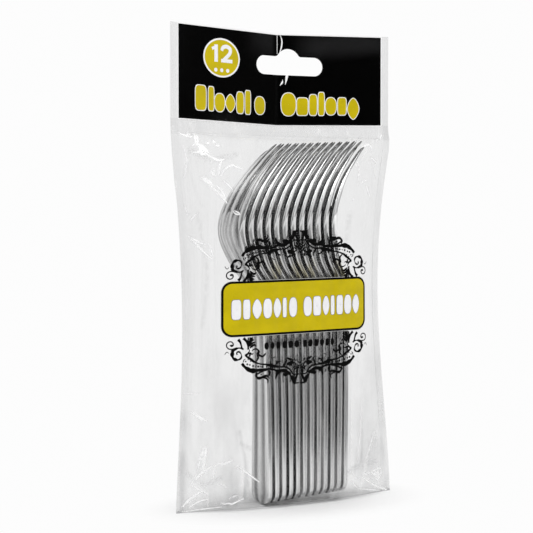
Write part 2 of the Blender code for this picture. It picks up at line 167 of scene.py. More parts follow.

# Sharp creases of the front film in mm: points (across, height), half width, rise, and how strong the painted
# highlight along them is, which is below zero for the painted shade of a soft fold
FRONT_CREASES = (
    (((-60.1, 190.2), (-57.8, 188.6), (-55.7, 187.7), (-54.4, 188.2)), 0.25, 0.32, 0.8),
    (((-54.6, 190.3), (-56.2, 188.6), (-56.9, 188.3)), 0.44, 0.36, 0.9),
    (((-53.1, 189.2), (-53.8, 187.0), (-54.3, 184.5)), 0.36, 0.4, 1.0),
    (((-52.2, 189.2), (-53.2, 186.5), (-53.6, 184.2)), 0.44, 0.4, 1.0),
    (((-53.8, 183.9), (-52.7, 183.2), (-51.7, 181.9), (-50.6, 180.6), (-49.7, 179.4)), 0.66, 0.4, 1.0),
    (((-53.6, 182.9), (-53.0, 181.2), (-53.8, 179.8), (-56.0, 179.7)), 0.39, 0.4, 1.0),
    (((-52.9, 180.6), (-52.3, 179.1), (-51.3, 179.1)), 0.66, 0.4, 1.0),
    (((-50.9, 178.9), (-49.7, 177.9), (-48.1, 176.9), (-46.4, 176.0), (-44.5, 175.9), (-42.9, 176.3)), 0.44,
     0.38, 0.95),
    (((-44.2, 175.7), (-45.2, 173.4), (-45.7, 170.9), (-45.9, 168.5)), 0.39, 0.36, 0.9),
    (((-45.9, 173.9), (-46.1, 170.9), (-46.1, 168.0)), 0.25, 0.24, 0.6),
    (((-44.9, 168.0), (-43.8, 170.0), (-42.6, 171.5), (-41.1, 172.7), (-38.7, 173.5), (-37.1, 172.5),
     (-33.0, 171.4)), 0.36, 0.36, 0.9),
    (((-49.0, 170.4), (-48.1, 168.7), (-47.4, 168.0)), 0.44, 0.32, 0.8),
    (((-48.4, 171.9), (-47.9, 170.4), (-47.5, 169.0)), 0.22, 0.32, 0.8),
    (((-52.5, 166.9), (-50.9, 165.5), (-49.4, 164.0), (-49.0, 162.6)), 0.72, 0.4, 1.0),
    (((-48.6, 162.3), (-47.1, 160.8), (-45.3, 158.6), (-42.9, 155.9), (-41.9, 154.4)), 0.39, 0.38, 0.95),
    (((-47.0, 163.1), (-45.6, 162.1), (-44.5, 160.6), (-43.3, 158.4), (-42.4, 156.4)), 0.39, 0.36, 0.9),
    (((-43.7, 165.8), (-41.7, 164.3), (-40.0, 162.6), (-38.9, 161.1)), 0.33, 0.34, 0.85),
    (((-49.7, 184.3), (-49.3, 184.3), (-48.8, 184.3)), 0.41, 0.4, 1.0),
    (((-46.0, 186.0), (-46.2, 184.2)), 0.39, 0.32, 0.8),
    (((-45.9, 183.0), (-44.2, 183.2)), 0.41, 0.4, 1.0),
    (((-55.8, 183.0), (-54.5, 183.9), (-54.1, 183.2)), 0.28, 0.24, 0.6),
    (((-57.2, 145.3), (-56.2, 147.8), (-54.8, 149.7)), 0.25, 0.18, 0.45),
    (((-59.5, 153.7), (-58.5, 151.2), (-57.9, 148.8)), 0.28, 0.16, 0.4),
    (((-38.9, 150.6), (-37.6, 150.7), (-35.9, 149.7), (-35.6, 149.0), (-37.1, 149.1), (-38.6, 150.0),
     (-38.9, 150.6)), 0.22, 0.4, 1.0),
    (((-57.3, 138.1), (-55.0, 136.1), (-52.6, 134.6), (-50.4, 134.2)), 0.3, 0.24, 0.6),
    (((-56.6, 136.8), (-53.9, 132.9), (-50.6, 128.5), (-49.0, 127.0)), 0.33, 0.28, 0.7),
    (((-50.2, 133.9), (-49.1, 130.0), (-48.5, 127.5)), 0.28, 0.2, 0.5),
    (((-58.8, 183.6), (-58.2, 178.5), (-58.2, 173.6), (-59.2, 167.1)), 0.28, 0.14, 0.35),
    (((-50.0, 189.9), (-46.5, 189.6), (-43.2, 189.0), (-39.1, 188.9)), 0.22, 0.2, 0.5),
    (((31.9, 185.1), (36.6, 187.5), (46.0, 190.4)), 0.25, 0.12, 0.3),
    (((37.2, 184.2), (39.2, 184.9), (41.3, 185.5), (43.7, 185.9), (44.4, 184.7), (43.9, 182.3)), 0.36, 0.36,
     0.9),
    (((43.5, 178.9), (46.3, 177.7), (48.7, 176.5), (47.3, 174.8)), 0.44, 0.3, 0.75),
    (((40.2, 182.9), (38.9, 180.8), (36.7, 177.9)), 0.33, 0.12, 0.3),
    (((34.4, 176.0), (35.0, 172.4), (34.7, 168.2), (34.1, 164.0)), 0.33, 0.2, 0.5),
    (((35.8, 165.4), (37.8, 166.4), (40.3, 167.0)), 0.41, 0.24, 0.6),
    (((40.0, 164.1), (41.6, 161.6), (43.3, 157.9)), 0.44, 0.18, 0.45),
    (((59.8, 192.7), (57.0, 189.2)), 0.36, 0.16, 0.4),
    (((51.0, 187.8), (56.9, 190.4)), 0.33, 0.14, 0.35),
    (((33.8, 177.0), (34.4, 175.2)), 0.33, 0.3, 0.75),
    (((32.5, 175.9), (33.4, 174.1)), 0.33, 0.3, 0.75),
    (((35.4, 189.2), (37.0, 189.5)), 0.39, 0.28, 0.7),
    (((30.9, 157.0), (31.6, 157.0)), 0.5, 0.2, 0.5),
    (((42.8, 177.8), (45.7, 172.7), (49.9, 167.6)), 0.39, 0.08, 0.2),
    (((-56.2, 50.2), (-54.5, 48.6), (-52.8, 47.3), (-51.6, 46.9)), 0.5, 0.38, 0.95),
    (((-53.1, 33.7), (-53.7, 29.7), (-54.2, 26.0), (-54.6, 21.4)), 0.33, 0.24, 0.6),
    (((-52.1, 33.3), (-52.5, 29.8), (-52.7, 26.2), (-52.5, 21.2)), 0.41, 0.4, 1.0),
    (((-55.1, 16.7), (-53.9, 19.1), (-52.5, 21.2), (-51.1, 22.4), (-49.6, 23.7), (-47.5, 24.7)), 0.44, 0.3,
     0.75),
    (((-47.5, 24.8), (-45.6, 25.2), (-43.6, 25.2), (-41.7, 25.9), (-39.9, 26.5)), 0.47, 0.4, 1.0),
    (((-47.6, 23.7), (-47.9, 20.5), (-47.7, 17.0)), 0.36, 0.36, 0.9),
    (((-37.2, 23.4), (-35.7, 23.0), (-32.2, 20.6), (-29.0, 18.1), (-26.3, 16.1), (-24.1, 14.4)), 0.33, 0.4,
     1.0),
    (((-37.1, 23.2), (-36.2, 23.1), (-35.2, 22.9)), 0.52, 0.4, 1.0),
    (((-60.4, 3.3), (-57.6, 6.5), (-55.3, 8.5), (-52.7, 10.5), (-51.1, 11.2)), 0.36, 0.4, 1.0),
    (((-57.1, 3.0), (-54.4, 5.0), (-51.2, 6.4), (-49.4, 6.6)), 0.3, 0.32, 0.8),
    (((-60.9, 0.7), (-57.2, 1.0), (-52.6, 1.6), (-47.1, 2.3), (-42.4, 2.6)), 0.25, 0.28, 0.7),
    (((-42.9, 4.7), (-41.5, 4.1), (-39.5, 4.4), (-37.5, 4.0), (-35.6, 4.9), (-33.1, 5.9), (-31.9, 6.2)),
     0.3, 0.36, 0.9),
    (((-56.4, 13.6), (-54.7, 12.8), (-52.8, 11.5)), 0.33, 0.3, 0.75),
    (((-51.4, 11.0), (-49.7, 9.9)), 0.44, 0.24, 0.6),
    (((-39.1, 6.8), (-37.2, 7.7), (-34.8, 8.4)), 0.33, 0.16, 0.4),
    (((-44.2, 15.0), (-42.2, 13.8), (-39.8, 12.4)), 0.33, 0.14, 0.35),
    (((-55.0, 19.3), (-56.1, 16.2), (-57.2, 13.6)), 0.39, 0.12, 0.3),
    (((-58.0, 4.3), (-56.2, 6.2), (-53.5, 8.0)), 0.22, 0.14, 0.35),
    (((-60.0, 60.1), (-56.5, 59.9), (-53.9, 60.3)), 0.22, 0.14, 0.35),
    (((-49.5, 10.4), (-49.1, 6.4), (-49.0, 2.3)), 0.25, 0.12, 0.3),
    (((45.3, 13.3), (49.9, 13.7), (55.6, 13.3)), 0.55, 0.4, 1.0),
    (((55.6, 13.3), (56.0, 10.6), (54.7, 8.3)), 0.55, 0.4, 1.0),
    (((45.7, 12.9), (49.9, 10.7), (54.7, 8.3)), 0.61, 0.4, 1.0),
    (((48.4, 12.9), (52.0, 11.7), (54.6, 10.0)), 0.66, 0.32, 0.8),
    (((39.9, 11.0), (42.7, 8.9), (46.2, 7.0), (50.9, 4.6), (55.8, 2.7), (60.7, 0.5)), 0.41, 0.36, 0.9),
    (((36.6, 4.9), (42.8, 3.9), (49.5, 2.4), (55.9, 1.0)), 0.28, 0.3, 0.75),
    (((32.4, 9.7), (34.1, 7.6), (36.5, 5.6)), 0.3, 0.3, 0.75),
    (((38.7, 10.0), (39.3, 7.2), (38.0, 5.7)), 0.28, 0.26, 0.65),
    (((34.3, 11.1), (36.3, 11.2), (38.8, 9.7)), 0.28, 0.22, 0.55),
    (((40.2, 12.6), (43.1, 12.9), (46.2, 13.2)), 0.44, 0.28, 0.7),
    (((48.9, 9.4), (52.1, 7.8), (54.6, 4.8), (57.8, 2.1)), 0.3, 0.28, 0.7),
    (((40.4, 20.8), (42.5, 25.2), (44.3, 29.8), (46.6, 34.9)), 0.55, 0.16, 0.4),
    (((49.8, 32.3), (49.5, 28.6)), 0.44, 0.12, 0.3),
    (((57.3, 2.8), (60.0, 1.4), (61.7, 0.5)), 0.44, 0.32, 0.8),
    (((43.9, 9.9), (47.6, 7.9), (51.8, 4.8)), 0.28, 0.2, 0.5),
    (((31.7, 15.7), (32.7, 12.3), (35.0, 10.7)), 0.28, 0.12, 0.3),
    (((30.2, 52.7), (30.5, 36.9), (30.6, 16.9)), 0.44, 0.09, 0.22),
    (((37.4, 54.8), (36.4, 36.5), (34.5, 19.7)), 0.5, 0.08, 0.2),
    (((56.4, 47.0), (46.7, 32.2), (42.0, 21.1)), 0.44, 0.07, 0.18),
    (((-35.2, 40.6), (-33.7, 31.5), (-31.4, 22.1), (-29.9, 12.8)), 0.55, 0.06, -0.14),
    (((-36.8, 40.7), (-36.3, 30.7)), 0.55, 0.03, -0.07),
    (((-31.2, 21.0), (-31.3, 13.9), (-31.4, 6.7)), 0.5, 0.05, -0.12),
    (((-57.2, 170.0), (-55.6, 162.1), (-54.3, 156.1), (-53.3, 153.2)), 0.39, 0.07, -0.06),
    (((-57.6, 180.0), (-57.6, 174.5), (-58.2, 169.1)), 0.33, 0.07, -0.06),
    (((-38.9, 21.6), (-38.5, 16.3), (-37.9, 12.2)), 0.55, 0.06, -0.07),
    (((34.0, 27.2), (33.6, 19.8), (33.5, 13.4)), 0.44, 0.06, -0.08),
    (((37.7, 36.4), (37.7, 26.8), (36.9, 19.5)), 0.39, 0.05, -0.12),
)
# The back film's creases, in the same columns, with a painted highlight along each
BACK_CREASES = (
    (((-50.0, 182.0), (-36.0, 177.0), (-22.0, 180.0)), 0.7, 0.5, 0.7),
    (((20.0, 181.0), (34.0, 178.0), (47.0, 183.0)), 0.7, 0.5, 0.6),
    (((-58.0, 20.0), (-44.0, 11.0), (-33.0, 13.0)), 0.6, 0.5, 0.7),
    (((57.0, 16.0), (46.0, 12.0), (36.0, 4.0)), 0.6, 0.5, 0.7),
    (((-46.0, 150.0), (-40.0, 120.0), (-43.0, 92.0)), 0.8, 0.4, 0.3),
    (((45.0, 150.0), (40.0, 118.0), (44.0, 80.0)), 0.8, 0.4, 0.3),
    (((-20.0, 30.0), (-6.0, 22.0), (12.0, 26.0)), 0.6, 0.3, 0.5),
    (((8.0, 168.0), (22.0, 160.0), (30.0, 166.0)), 0.6, 0.3, 0.4),
)

# The print on the film below the header, which sits a little askew
LABEL_MIDDLE = (-0.0025, 0.1025)
LABEL_CORNER = 0.0050
LABEL_OUTLINE = 0.22
PRINT_TILT = 0.0166
SCROLL_LAYER = 0.03
SCROLL_LAYER_STEP = 0.0006

# The header's print: the badge, and how far the outlines of its plain shapes reach past them in mm
BADGE_MIDDLE = (-0.0340, 0.2294)
BADGE_RIM = 0.0009
HEADER_OUTLINE = 0.42

# How lines and shapes of ink are drawn
STROKE_STEP = 0.00035
RUFFLE_LENGTH = 0.00055
ROUND = 2.0

# The scroll's left upper quarter in mm about its own middle: points, widths from end to end and ruffle
SCROLL_MIDDLE = (-1.0, 102.0)
SCROLL_STROKES = (
    (((-33.1, 26.72), (-31.7, 28.4), (-30.1, 29.57), (-28.4, 30.45), (-25.8, 30.8), (-23.0, 30.56),
     (-19.6, 30.4), (-17.3, 30.46), (-15.3, 30.83), (-13.2, 31.59), (-11.8, 32.07)), (1.31, 1.52, 2.07,
     2.62, 1.93, 1.31, 1.1, 1.03, 1.1, 1.03, 0.97), 0.12),
    (((-32.3, 26.11), (-32.1, 25.11), (-31.2, 24.59)), (0.55, 0.48, 0.21), 0),
    (((-31.4, 22.6), (-29.8, 23.87), (-28.4, 24.75), (-26.4, 26.21), (-24.1, 27.18), (-21.9, 27.74),
     (-19.6, 28.0), (-17.3, 28.56), (-15.0, 29.22), (-12.1, 29.68), (-8.6, 29.92), (-6.7, 30.69),
     (-5.2, 31.96), (-4.3, 33.45), (-3.3, 34.23)), (0.9, 1.24, 1.45, 0.97, 0.76, 0.76, 0.9, 1.79, 1.66,
     1.03, 0.83, 0.83, 0.83, 0.83, 0.62), 0),
    (((-24.9, 31.69), (-25.2, 33.29), (-24.1, 34.58), (-22.4, 34.55), (-20.7, 33.82), (-19.0, 33.89),
     (-17.4, 35.36)), (0.69, 1.31, 1.38, 1.31, 1.03, 1.17, 0.28), 0.15),
    (((-24.7, 32.69), (-23.3, 31.96), (-21.3, 31.13), (-19.0, 30.89)), (0.9, 0.9, 0.97, 0.69), 0),
    (((-19.2, 37.49), (-18.4, 36.48), (-18.9, 35.49), (-20.2, 34.71), (-21.6, 34.33)),
     (0.34, 0.69, 0.9, 1.03, 0.83), 0),
    (((-18.1, 33.78), (-17.5, 32.67), (-18.0, 31.07)), (1.31, 1.38, 0.97), 0),
    (((-13.9, 36.01), (-13.8, 34.7), (-13.1, 33.09), (-11.7, 31.97), (-10.0, 31.74), (-8.2, 32.11),
     (-6.6, 32.98), (-5.4, 33.96)), (0.34, 1.17, 1.79, 2.07, 1.66, 1.66, 1.52, 1.38), 0.1),
    (((-9.8, 33.54), (-8.5, 33.82), (-7.2, 33.49), (-6.5, 32.68)), (0.97, 1.79, 2.07, 1.66), 0.15),
    (((-0.3, 38.58), (-1.9, 38.61), (-3.1, 38.63)), (0.62, 0.69, 1.38), 0),
    (((-3.1, 38.73), (-3.3, 37.53), (-3.9, 36.24), (-5.0, 35.06)), (1.66, 2.42, 2.35, 1.66), 0.12),
    (((-5.0, 35.26), (-5.3, 34.16)), (1.38, 0.97), 0),
    (((-2.4, 36.91), (-1.9, 35.41), (-1.3, 34.4), (-0.3, 33.98)), (1.1, 1.31, 0.97, 0.62), 0),
    (((-0.3, 33.98), (-2.2, 34.11), (-3.6, 34.23)), (0.62, 0.69, 0.76), 0),
    (((-1.4, 33.8), (-1.6, 32.6), (-1.3, 31.5)), (0.83, 1.45, 0.83), 0),
    (((-0.3, 30.88), (-1.6, 30.9), (-2.9, 31.52), (-3.5, 32.73)), (0.76, 0.97, 0.76, 0.41), 0),
    (((-1.7, 28.6), (-2.0, 29.61), (-1.5, 30.5), (-0.6, 30.49)), (0.48, 0.55, 0.55, 0.41), 0),
    (((-0.9, 29.19), (-0.9, 29.89), (-0.9, 30.39)), (0.41, 1.03, 0.41), 0),
    (((-4.9, 29.56), (-4.6, 28.35), (-3.6, 28.03), (-2.5, 28.62), (-2.2, 29.51), (-2.9, 30.42),
     (-3.9, 30.34)), (0.62, 1.03, 0.9, 0.76, 0.62, 0.62, 0.48), 0),
    (((-2.4, 27.51), (-2.8, 26.72), (-2.9, 25.82)), (0.28, 1.1, 0.55), 0),
    (((-0.3, 28.48), (-0.6, 27.79), (-1.2, 27.6)), (0.69, 0.55, 0.21), 0),
    (((-7.3, 28.5), (-5.7, 28.17), (-4.5, 27.35), (-4.3, 26.25)), (0.69, 1.72, 1.66, 0.55), 0.15),
    (((-4.3, 28.75), (-5.7, 28.97), (-7.1, 28.69)), (0.97, 1.1, 0.69), 0),
    (((-4.6, 26.15), (-5.9, 26.17), (-7.2, 25.39)), (0.55, 1.31, 0.83), 0.12),
    (((-9.5, 29.53), (-8.8, 28.22), (-8.0, 26.91), (-7.7, 26.1)), (0.69, 1.03, 1.03, 0.34), 0.12),
    (((-16.6, 29.25), (-16.9, 27.96), (-17.3, 26.46)), (1.52, 1.1, 0.21), 0),
    (((-14.1, 29.11), (-13.0, 27.59), (-11.2, 26.46)), (0.83, 1.03, 0.41), 0.1),
    (((-16.1, 25.64), (-15.2, 24.63), (-14.1, 24.91)), (0.28, 0.41, 0.21), 0),
    (((-24.7, 25.69), (-24.0, 24.37), (-24.4, 22.68), (-23.7, 21.37), (-24.4, 20.18), (-25.6, 19.8),
     (-27.0, 20.22), (-27.8, 20.94)), (0.69, 1.17, 1.24, 1.45, 1.03, 0.69, 0.55, 0.28), 0.12),
    (((-24.1, 22.68), (-22.8, 23.45), (-21.7, 23.84), (-20.7, 23.32), (-19.8, 22.3)),
     (1.24, 1.03, 0.9, 0.97, 0.69), 0),
    (((-24.9, 25.39), (-25.6, 26.4), (-27.0, 26.62)), (0.83, 0.55, 0.21), 0),
    (((-31.5, 22.7), (-30.3, 22.28), (-29.4, 21.46), (-28.9, 20.35)), (0.83, 1.03, 1.03, 0.41), 0.1),
    (((-28.9, 23.55), (-28.6, 21.75), (-27.8, 22.34), (-26.7, 22.02)), (0.97, 1.17, 0.83, 0.28), 0),
    (((-33.0, 19.12), (-33.5, 17.43), (-34.0, 15.94), (-35.1, 14.66)), (0.76, 0.83, 1.17, 1.66), 0),
    (((-32.3, 14.11), (-30.9, 15.39), (-30.1, 16.87), (-29.8, 18.57), (-30.1, 19.97)),
     (1.52, 1.31, 1.17, 0.9, 0.34), 0),
    (((-29.6, 13.87), (-29.8, 16.87), (-29.5, 19.36), (-28.9, 20.45)), (0.76, 0.97, 0.97, 0.34), 0),
    (((-28.3, 13.84), (-28.8, 16.35), (-29.1, 18.56)), (1.38, 1.1, 0.69), 0),
    (((-27.3, 13.93), (-28.1, 15.94), (-28.6, 18.25)), (0.83, 0.97, 0.69), 0),
    (((-28.8, 19.25), (-27.5, 18.23), (-26.2, 17.71), (-25.2, 18.69)), (0.62, 1.17, 1.31, 0.34), 0.1),
    (((-28.4, 17.65), (-27.2, 16.73), (-25.7, 16.5)), (0.76, 1.1, 0.34), 0),
    (((-28.2, 16.14), (-27.2, 15.23), (-26.3, 15.31)), (0.69, 1.03, 0.34), 0),
    (((-32.2, 19.71), (-33.9, 18.94), (-36.3, 19.18), (-37.8, 20.4), (-38.3, 22.11), (-37.7, 23.9),
     (-35.8, 24.77), (-34.1, 24.44), (-33.3, 23.33), (-33.6, 21.83), (-34.5, 20.85), (-35.6, 20.87),
     (-36.0, 21.57), (-35.5, 22.16)), (0.69, 0.83, 0.9, 1.17, 1.59, 1.66, 1.45, 1.31, 1.17, 0.83, 0.69,
     0.69, 0.9, 0.9), 0.3),
    (((-36.8, 18.89), (-38.1, 19.31), (-39.9, 19.14), (-40.9, 18.15), (-41.0, 16.76), (-40.1, 15.74),
     (-38.8, 15.62), (-37.9, 16.4), (-37.9, 17.4), (-38.7, 17.72), (-39.1, 17.12)), (0.55, 0.62, 0.62, 0.62,
     0.55, 0.62, 0.62, 0.55, 0.62, 0.97, 1.03), 0),
    (((-42.0, 21.97), (-41.3, 20.86), (-40.6, 20.65), (-40.0, 21.44)), (0.28, 0.34, 0.34, 0.21), 0),
    (((-38.9, 20.52), (-38.2, 19.91), (-37.2, 19.59)), (0.83, 1.03, 0.34), 0),
)
SCROLL_PEARLS = (
    (-27.0, 28.32, 0.56), (-23.9, 28.77, 0.56), (-21.7, 29.04, 0.53), (-19.3, 29.1, 0.53),
    (-30.2, 27.28, 0.53), (-28.8, 27.65, 0.46), (-31.1, 25.79, 0.4), (-25.5, 28.6, 0.33),
    (-22.8, 28.95, 0.33), (-17.2, 29.66, 0.33), (-8.9, 28.22, 0.49), (-8.1, 26.21, 0.4), (-13.5, 26.9, 0.4),
    (-11.6, 27.07, 0.4), (-1.6, 32.4, 0.59), (-0.3, 29.78, 0.26), (-29.8, 24.97, 0.33),
    (-28.3, 25.94, 0.33), (-37.7, 19.6, 0.4), (-22.4, 32.95, 0.36),
)

# Plain shapes of the print in mm: across, height, half width, half height, squareness
HEADER_SHAPES = (
    (-46.6, 208.3, 3.1, 6.2, 5.0), (-40.4, 208.2, 1.6, 6.0, 5.0), (-35.2, 206.6, 3.0, 4.5, 2.4),
    (-28.7, 206.7, 2.8, 4.4, 1.6), (-22.7, 207.4, 2.1, 5.4, 4.0), (-17.9, 207.9, 1.6, 6.0, 5.0),
    (-10.4, 206.8, 3.1, 4.5, 2.4), (6.9, 208.2, 4.0, 5.9, 2.4), (14.6, 207.1, 3.0, 4.5, 5.0),
    (20.6, 208.0, 2.1, 5.4, 4.0), (25.2, 208.6, 1.6, 6.0, 5.0), (30.6, 207.4, 3.0, 4.5, 2.4),
    (36.9, 207.4, 2.3, 4.5, 5.0), (43.3, 206.2, 3.2, 5.5, 1.6),
)
LABEL_SHAPES = (
    (-37.2, 102.2, 2.5, 4.9, 5.0), (-31.6, 102.2, 1.9, 4.9, 5.0), (-25.8, 102.2, 2.6, 4.9, 1.7),
    (-19.8, 102.2, 2.4, 4.9, 2.6), (-14.2, 102.2, 2.2, 4.9, 1.7), (-9.9, 102.2, 1.1, 4.9, 5.0),
    (-5.0, 102.2, 2.3, 4.9, 2.6), (3.6, 102.2, 2.4, 4.9, 2.6), (9.2, 102.2, 2.2, 4.9, 5.0),
    (14.5, 102.2, 2.0, 4.9, 1.7), (18.6, 102.2, 1.1, 4.9, 5.0), (22.9, 102.2, 1.9, 4.9, 5.0),
    (27.9, 102.2, 2.2, 4.9, 2.6), (33.0, 102.2, 2.1, 4.9, 1.7),
)
SMALL_SHAPES = (
    (-20.2, 83.3, 1.3, 1.8, 2.6), (-16.8, 83.3, 1.2, 1.8, 1.7), (-13.4, 83.3, 1.2, 1.8, 5.0),
    (-9.8, 83.3, 1.4, 1.8, 2.6), (-6.2, 83.3, 1.3, 1.8, 5.0), (-2.6, 83.3, 1.3, 1.8, 2.6),
    (2.2, 83.3, 1.2, 1.8, 5.0), (5.5, 83.3, 1.2, 1.8, 2.6), (8.9, 83.3, 1.2, 1.8, 5.0),
    (12.3, 83.3, 1.3, 1.8, 1.7), (15.5, 83.3, 1.0, 1.8, 5.0), (18.6, 83.3, 1.0, 1.8, 2.6),
)

# Half of a handle's and of a head's section, from the middle of its back round to the middle of its front:
# share of the half width, depth in mm from the spine, and its painted shade from 0 to 1, most where it lies
# deep in the stack
HANDLE_SECTION = (
    (0.0, 0.05, 0.25), (0.12, 0.0, 0.35), (0.28, 0.3, 0.65), (0.42, 0.62, 0.85), (0.56, 0.5, 0.75),
    (0.7, 0.12, 0.35), (0.84, 0.0, 0.3), (0.94, 0.12, 0.1), (0.99, 0.5, 0.0), (1.0, 1.0, 0.05),
    (0.998, 1.55, 0.5), (0.997, 2.15, 0.2), (0.98, 2.55, 0.1), (0.92, 2.75, 0.9), (0.84, 2.78, 1.0),
    (0.74, 2.55, 1.0), (0.66, 2.2, 1.0), (0.42, 2.3, 1.0), (0.14, 2.4, 1.0),
)
HEAD_SECTION = (
    (0.0, -2.4, 0.2), (0.12, -2.36, 0.36), (0.28, -2.16, 0.16), (0.42, -2.02, 0.4), (0.56, -1.7, 0.16),
    (0.7, -1.12, 0.42), (0.84, -0.55, 0.6), (0.94, -0.15, 0.3), (0.99, 0.35, 0.05), (1.0, 0.95, 0.2),
    (0.998, 1.6, 0.4), (0.995, 2.3, 0.25), (0.98, 2.85, 0.3), (0.93, 3.2, 1.0), (0.88, 3.35, 1.0),
    (0.83, 3.0, 1.0), (0.76, 1.9, 1.0), (0.43, -0.2, 1.0), (0.14, -0.6, 1.0),
)

# A tine's section: share of its half width, share of its depth, and its painted shade, most where it lies
# deep in the stack
TINE_SECTION = (
    (-0.6, 0.0, 0.0), (0.0, -0.03, 0.0), (0.6, 0.0, 0.0), (0.93, 0.07, 0.0), (1.0, 0.2, 0.0),
    (1.0, 0.62, 0.0), (0.92, 0.8, 0.8), (0.6, 1.0, 1.0), (-0.6, 1.0, 1.0), (-0.92, 0.8, 0.8),
    (-1.0, 0.62, 0.0), (-1.0, 0.2, 0.0), (-0.93, 0.07, 0.0),
)

# The stage and the colours that more than one finish has
WHITE = (1.0, 1.0, 1.0, 1.0)
# LABEL_REFLECTION is the colour of the painted reflection of the yellow label on the forks
LABEL_REFLECTION = (0.42, 0.34, 0.02, 1.0)
STUDIO_FRONT = (0.1, -0.995, 0.0)
STUDIO_DIM = 0.62
STAGE_RINGS = (0.0001, 0.1, 0.25, 0.5, 1.0, 2.0, 4.0, 8.0)
STAGE_SIDES = 64
STAGE_LEVEL = -0.0002
LAMP_TARGET = (0.0, 0.0, 0.12)
CAMERA_TARGET = (-0.01242, 0.0, 0.12248)
SENSOR_WIDTH = 36.0


def smooth_step(value):
    share = np.clip(value, 0.0, 1.0)
    return share * share * (3 - 2 * share)


def mix(start, end, share):
    return start + (end - start) * share


def curve_through(knots, at):
    """Smooth curve through (place, value) knots, for one place."""
    last = len(knots) - 1
    for index in range(last):
        if at <= knots[index + 1][0] or index == last - 1:
            break
    before, start = knots[max(0, index - 1)], knots[index]
    end, after = knots[index + 1], knots[min(last, index + 2)]
    span = end[0] - start[0]
    start_slope = (end[1] - before[1]) / (end[0] - before[0])
    end_slope = (after[1] - start[1]) / (after[0] - start[0])
    share = (at - start[0]) / span
    square, cube = share ** 2, share ** 3
    return (
        (2 * cube - 3 * square + 1) * start[1]
        + (cube - 2 * square + share) * span * start_slope
        + (3 * square - 2 * cube) * end[1]
        + (cube - square) * span * end_slope
    )


def half_width(across_share, height):
    """Half the standing bag's width, by side and height."""
    left, right = (
        depth * np.sin(np.pi * np.minimum(1, height / (top * SEAL_BOTTOM)) ** skew)
        for depth, top, skew in (LEFT_WAIST, RIGHT_WAIST)
    )
    return BAG_WIDTH / 2 - np.where(across_share < 0, left, right)


def edge_share(across):
    left = (CREASE_PLACE - across) / (CREASE_PLACE + BAG_WIDTH / 2)
    right = (across - CREASE_PLACE) / (BAG_WIDTH / 2 - CREASE_PLACE)
    return np.where(across < CREASE_PLACE, left, right)


def bent_back(start, height):
    return smooth_step((height - start) / (HEADER_BOTTOM - start))


def lean(across, height):
    """How far back the film's middle lies at a place."""
    late = bent_back(LEAN_START, height)
    early = bent_back(LEFT_LEAN_START, height)
    edge = np.where(across < CREASE_PLACE, LEFT_EDGE_SET * early, RIGHT_EDGE_SET * late)
    return mix(CREASE_SET * late, edge, edge_share(across))


def sink(across, height):
    return CREASE_SINK * bent_back(LEAN_START, height) * (1 - edge_share(across))


def belly(share, height):
    """Half the depth of the bag's inside, share being the place across from -1 to 1."""
    rise = smooth_step(height / BELLY_START)
    depth = mix(FLOOR_DEPTH, BELLY_DEPTH, rise) / 2 - FILM
    up = np.clip((height - SHOULDER_HEIGHT) / (SEAL_BOTTOM - SHOULDER_HEIGHT), 0, 1)
    depth = depth * np.sqrt(np.maximum(0, 1 - up ** SHOULDER_ROUNDNESS))
    down = np.clip(1 - height / FLOOR_ROUND, 0, 1)
    depth = depth * mix(FLOOR_HALF_SHARE, 1, np.sqrt(1 - down ** 2))
    return depth * (1 - np.minimum(1, np.abs(share)) ** mix(FLOOR_ROUNDNESS, BELLY_ROUNDNESS, rise))


def line_distance(points, across, height):
    """Distance from each place to a line through points."""
    nearest = np.full(np.shape(across), 1e9)
    for (start_x, start_z), (end_x, end_z) in zip(points[:-1], points[1:]):
        run_x, run_z = end_x - start_x, end_z - start_z
        along = ((across - start_x) * run_x + (height - start_z) * run_z) / (run_x ** 2 + run_z ** 2)
        near = np.clip(along, 0, 1)
        away = np.hypot(across - start_x - near * run_x, height - start_z - near * run_z)
        nearest = np.minimum(nearest, away)
    return nearest


def fold_rise(folds, across, height):
    total = np.zeros(np.shape(across))
    for start, end, width, rise in folds:
        total = total + rise * np.exp(-((line_distance((start, end), across, height) / width) ** 2))
    return total


def crease_rise(creases, across, height):
    """Rise of the sharp creases, and how strong the painted highlight along them is at each place."""
    rise = np.zeros(np.shape(across))
    white = np.zeros(np.shape(across))
    for points, width, lift, shine in creases:
        placed = [(x * MM, z * MM) for x, z in points]
        away = line_distance(placed, across, height) / (width * MM)
        rise = rise + 0.5 * lift * MM * np.exp(-(away / 2.6) ** 2)
        # A crease with a positive value gets a painted highlight, kept as white
        if shine > 0:
            white = np.maximum(white, 0.5 * shine * np.exp(-((away / 1.5) ** 2)))
    return rise, white


def crease_shade(creases, across, height):
    """How dark the painted shade is along the film's soft folds and along its foot."""
    dark = np.zeros(np.shape(across))
    for points, width, _, shine in creases:
        if shine < 0:
            placed = [(x * MM, z * MM) for x, z in points]
            away = line_distance(placed, across, height) / (width * MM)
            dark = np.maximum(dark, -shine * np.exp(-((away / 1.8) ** 2)))
    # A thin painted shade line along the foot of the film
    bottom = np.exp(-((height - 0.0006) / 0.0005) ** 2) * 0.3
    return np.maximum(dark, bottom)


def soft_waves(across, height):
    """Soft upright waves of the loose film."""
    x, z = across / MM, height / MM
    broad = np.sin(x * 0.62 + 1.7 * np.sin(z * 0.031))
    narrow = np.sin(x * 1.13 + 2.0 + 1.2 * np.sin(z * 0.047 + 1))
    waves = broad + 0.7 * narrow
    return WAVE_RISE * waves * smooth_step((SEAL_BOTTOM - height) / 0.02)


